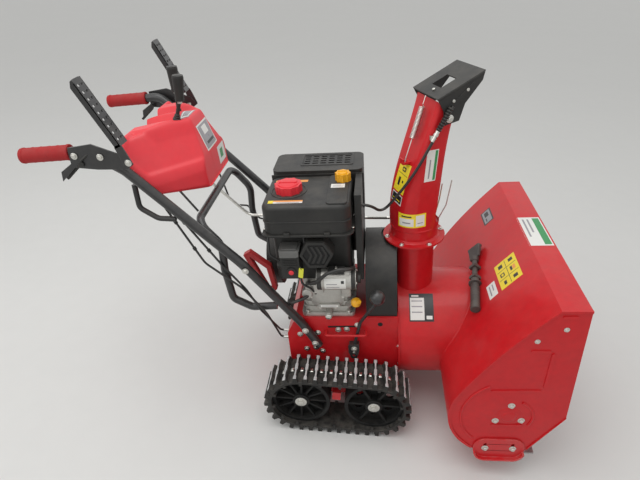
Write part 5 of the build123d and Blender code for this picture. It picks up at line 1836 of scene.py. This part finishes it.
LABELS = (
    Label("auger_housing", (700, 14, 551), ACROSS, ALONG, (164, 66), LABEL_WHITE,
          (Patch(LABEL_GREEN, (0.04, 0.66, 0.96, 0.95)),
           *fields_of(LABEL_GREY, (0.08, 0.2, 0.7, 0.28), (0.08, 0.4, 0.55, 0.48)))),
    Label("auger_housing", (608, -98, 487), ACROSS, (0.66, 0, 0.75), (112, 74), LABEL_YELLOW,
          warning_fields(LABEL_YELLOW, LABEL_BLACK)),
    Label("auger_housing", (566, -122, 436), ACROSS, (0.62, 0, 0.78), (60, 32), LABEL_WHITE,
          fields_of(LABEL_GREY, (0.15, 0.25, 0.85, 0.38), (0.15, 0.6, 0.6, 0.72))),
    Label("auger_housing", (609, 222, 488), ACROSS, (0.66, 0, 0.75), (78, 40), LABEL_BLACK,
          (Patch(LABEL_GREY, (0.06, 0.12, 0.94, 0.88)),
           *fields_of(LABEL_BLACK, (0.16, 0.3, 0.5, 0.7), (0.6, 0.3, 0.86, 0.4), lift=0.5))),
    Label("impeller_housing", (370, -106, 362), ALONG, (0, 0.77, 0.64), (72, 86), LABEL_BLACK,
          (Patch(LABEL_WHITE, (0.04, 0.05, 0.62, 0.84)),
           *fields_of(LABEL_GREY, *((0.1, low, 0.54, low + 0.04) for low in (0.7, 0.5, 0.3)), lift=0.5),
           *fields_of(LABEL_WHITE, (0.7, 0.08, 0.94, 0.2), (0.1, 0.88, 0.4, 0.94)))),
    Label("chute", (-41, -4, 750), ACROSS, (0.28, 0, 0.96), (62, 86), LABEL_YELLOW,
          (*fields_of(LABEL_BLACK, (0.06, 0.6, 0.94, 0.615), (0.34, 0.7, 0.66, 0.84)),
           Patch(LABEL_YELLOW, (0.41, 0.74, 0.59, 0.8), 0.5),
           *fields_of(LABEL_BLACK, (0.26, 0.2, 0.44, 0.48), (0.6, 0.34, 0.72, 0.42)))),
    Label("chute", (-54, -4, 690), ACROSS, (0.2, 0, 0.98), (60, 28), LABEL_WHITE,
          (Patch(LABEL_BLACK, (0.05, 0.12, 0.95, 0.9)), Patch(LABEL_YELLOW, (0.14, 0.3, 0.86, 0.42), 0.5))),
    Label("chute", (15, -65, 796), ALONG, (0.1, 0, 0.99), (33, 88), LABEL_WHITE,
          (Patch(LABEL_GREEN, (0.72, 0.03, 0.94, 0.97)), Patch(LABEL_GREY, (0.3, 0.1, 0.42, 0.7)))),
    Label("chute", (-32, -52, 638), (0.84, -0.54, 0), UPRIGHT, (76, 43), LABEL_YELLOW,
          (*fields_of(LABEL_WHITE, (0.05, 0.1, 0.58, 0.66), (0.66, 0.1, 0.95, 0.9)),
           Patch(LABEL_BLACK, (0.12, 0.76, 0.5, 0.86)),
           *fields_of(LABEL_GREY, (0.16, 0.3, 0.46, 0.4), (0.72, 0.3, 0.9, 0.36), lift=0.5))),
    Label("fuel_tank", (4, -150, 748), ALONG, TO_LEFT, (92, 16), LABEL_WHITE,
          (Patch(LABEL_ORANGE, (0.12, 0.5, 1, 1)), Patch(LABEL_YELLOW, (0, 0, 0.15, 1), 0.5),
           Patch(LABEL_GREY, (0.25, 0.14, 0.9, 0.32)))),
    Label("fuel_tank", (4, -20, 748), ALONG, TO_LEFT, (92, 14), LABEL_ORANGE,
          (Patch(LABEL_WHITE, (0.06, 0.1, 0.5, 0.5)),)),
    Label("tank_seam_and_deck", (138, -66, 751.5), ALONG, TO_LEFT, (38, 24), LABEL_WHITE,
          fields_of(LABEL_GREY, (0.12, 0.3, 0.88, 0.4), (0.12, 0.6, 0.7, 0.7))),
    Label("starter_motor", (124, -192, 509), ALONG, UPRIGHT, (60, 34), LABEL_WHITE,
          (*fields_of(LABEL_GREY, (0.1, 0.2, 0.7, 0.28), (0.1, 0.5, 0.6, 0.58)),
           Patch(LABEL_BLACK, (0.78, 0.6, 0.92, 0.85)))),
    Label("crankcase_cover", (98, -146, 398), ALONG, UPRIGHT, (52, 8), LABEL_WHITE,
          (Patch(LABEL_GREY, (0.08, 0.4, 0.9, 0.6)),)),
    Label("console_hood", (-228, 2, 890), TO_LEFT, (-0.335, 0, 0.94), (86, 74), LABEL_WHITE,
          (Patch(LABEL_GREY, (0.05, 0.06, 0.95, 0.94)), Patch(LABEL_WHITE, (0.3, 0.55, 0.7, 0.86), 0.5),
           Patch(LABEL_BLACK, (0.2, 0.2, 0.8, 0.3), 0.5))),
    Label("console_hood", (-212, 56, 815), TO_LEFT, (-0.05, 0, 1), (62, 52), LABEL_WHITE,
          (Patch(LABEL_GREEN, (0.3, 0.25, 0.7, 0.75)),)),
    Label("console_hood", (-268, 0, 953), TO_LEFT, (-1, 0, 0.15), (66, 26), LABEL_GREY,
          (Patch(LABEL_WHITE, (0.06, 0.1, 0.94, 0.9)), Patch(LABEL_GREY, (0.14, 0.2, 0.86, 0.8), 0.5))),
)


@dataclass
class Labels:
    """All blank labels, laid on the surfaces they stick to."""

    step: float = 5.0
    reach: float = 45.0

    def lay_patch(self, form: Form, label: Label, patch: Patch) -> None:
        """Lay one field of a label on its surface.

        Args:
            form: The mesh it is added to.
            label: The label.
            patch: The field.
        """
        sheet = frame["nodes"].get(label.on) or bpy.data.objects[label.on]
        tree = BVHTree.FromObject(sheet, bpy.context.evaluated_depsgraph_get())
        matrix = sheet.matrix_world.inverted() @ label.place.matrix
        back = matrix.inverted()
        across, up = Vector(label.across).normalized(), Vector(label.up).normalized()
        out = across.cross(up).normalized()
        width, height = label.size
        u0, v0, u1, v1 = patch.box
        columns = max(1, round(width * (u1 - u0) / self.step))
        rows = max(1, round(height * (v1 - v0) / self.step))
        rings = []
        for k in range(rows + 1):
            line = []
            for i in range(columns + 1):
                u = (u0 + (u1 - u0) * i / columns - 0.5) * width
                v = (v0 + (v1 - v0) * k / rows - 0.5) * height
                point = Vector(label.centre) + across * u + up * v
                start, end = matrix @ (point + out * self.reach), matrix @ (point - out * self.reach)
                hit = tree.ray_cast(start, heading(start, end), (end - start).length)[0]
                line.append((back @ hit if hit else point) + out * patch.lift)
            rings.append(line)
        form.skin(rings, closed=False, capped=False)

    def build(self) -> None:
        """Lay every label, one piece for each body, frame and finish."""
        groups: dict = {}
        for label in LABELS:
            for patch in label.patches:
                groups.setdefault((label.body, label.place, patch.finish), []).append((label, patch))
        for (body, place, finish), parts in groups.items():
            form = Form(place)
            for label, patch in parts:
                self.lay_patch(form, label, patch)
            form.piece(f"labels_{place.value}_{finish.name}", finish, body, smooth=80)


@dataclass
class Studio:
    """Floor, light and the camera at the photograph's place."""

    eye: tuple[float, float, float] = (0.1249, -1.3169, 1.3505)
    yaw: float = 5.14
    pitch: float = -31.4
    roll: float = 0.66
    lens: float = 28.3
    sensor: float = 36.0
    sight: float = 100.0
    floor_half: float = 20.0
    floor_gap: float = 0.0004
    sky: float = 0.62
    lamps: tuple = (
        ("ceiling_lamp", (-0.4, -0.5, 3.4), (0.1, 0, 0.3), 2.6, 46.0),
        ("side_lamp", (-2.6, -2.2, 2.2), (0, 0, 0.4), 1.8, 16.0),
    )

    def build_camera(self) -> None:
        """The camera, from the photograph's own angles."""
        yaw, pitch, roll = (math.radians(a) for a in (self.yaw, self.pitch, self.roll))
        ahead = Vector((-math.sin(yaw) * math.cos(pitch), math.cos(yaw) * math.cos(pitch), math.sin(pitch)))
        side = Vector((math.cos(yaw), math.sin(yaw), 0))
        above = side.cross(ahead)
        right = side * math.cos(roll) + above * math.sin(roll)
        up = above * math.cos(roll) - side * math.sin(roll)
        camera = linked("photo_camera", bpy.data.cameras.new("photo_camera"))
        camera.matrix_world = Matrix.Translation(self.eye) @ Matrix((right, up, -ahead)).transposed().to_4x4()
        camera.data.lens = self.lens
        camera.data.sensor_width = self.sensor
        camera.data.clip_end = self.sight
        bpy.context.scene.camera = camera

    def build_floor(self) -> None:
        """A plain pale floor."""
        form = bmesh.new()
        bmesh.ops.create_grid(form, x_segments=8, y_segments=8, size=self.floor_half)
        data = bpy.data.meshes.new("studio_floor")
        form.to_mesh(data)
        form.free()
        data.materials.append(FLOOR_GREY.material())
        floor = linked("studio_floor", data)
        floor.location.z = -self.floor_gap

    def build_light(self) -> None:
        """Soft even light: a pale sky and two wide lamps overhead."""
        world = bpy.data.worlds.new("studio_world")
        bpy.context.scene.world = world
        world.use_nodes = True
        world.node_tree.nodes.clear()
        wires = Wiring(world.node_tree)
        path = wires.add("ShaderNodeLightPath")
        seen = wires.calc("MAXIMUM", path.outputs["Is Camera Ray"], path.outputs["Is Glossy Ray"])
        seen = wires.calc("MAXIMUM", seen, path.outputs["Is Transmission Ray"])
        strength = wires.spread(seen, 0, 1, self.sky, 1.0)
        sky = wires.add("ShaderNodeBackground", {"Color": (1, 1, 1, 1), "Strength": strength})
        wires.add("ShaderNodeOutputWorld", {"Surface": sky.outputs[0]})
        for name, place, aim, size, power in self.lamps:
            lamp = bpy.data.lights.new(name, "AREA")
            lamp.size = size
            lamp.energy = power
            made = linked(name, lamp)
            made.location = place
            made.rotation_mode = "QUATERNION"
            made.rotation_quaternion = (Vector(aim) - Vector(place)).to_track_quat("-Z", "Y")

    def build(self) -> None:
        """Build the whole studio."""
        bpy.context.scene.view_settings.view_transform = "Standard"
        self.build_camera()
        self.build_floor()
        self.build_light()


def main() -> None:
    """Build every sub-assembly in order and report it."""
    logging.basicConfig(level=logging.INFO)
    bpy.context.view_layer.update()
    for kind in (Studio, TrackUnit, Chassis, Engine, AugerHousing, Chute, Handles, Console, Cables, Labels):
        known = set(bpy.data.objects.keys())
        kind().build()
        added = sorted(set(bpy.data.objects.keys()) - known)
        log.info("%s: %s", kind.__name__, ", ".join(added))


if __name__ == "__main__":
    main()
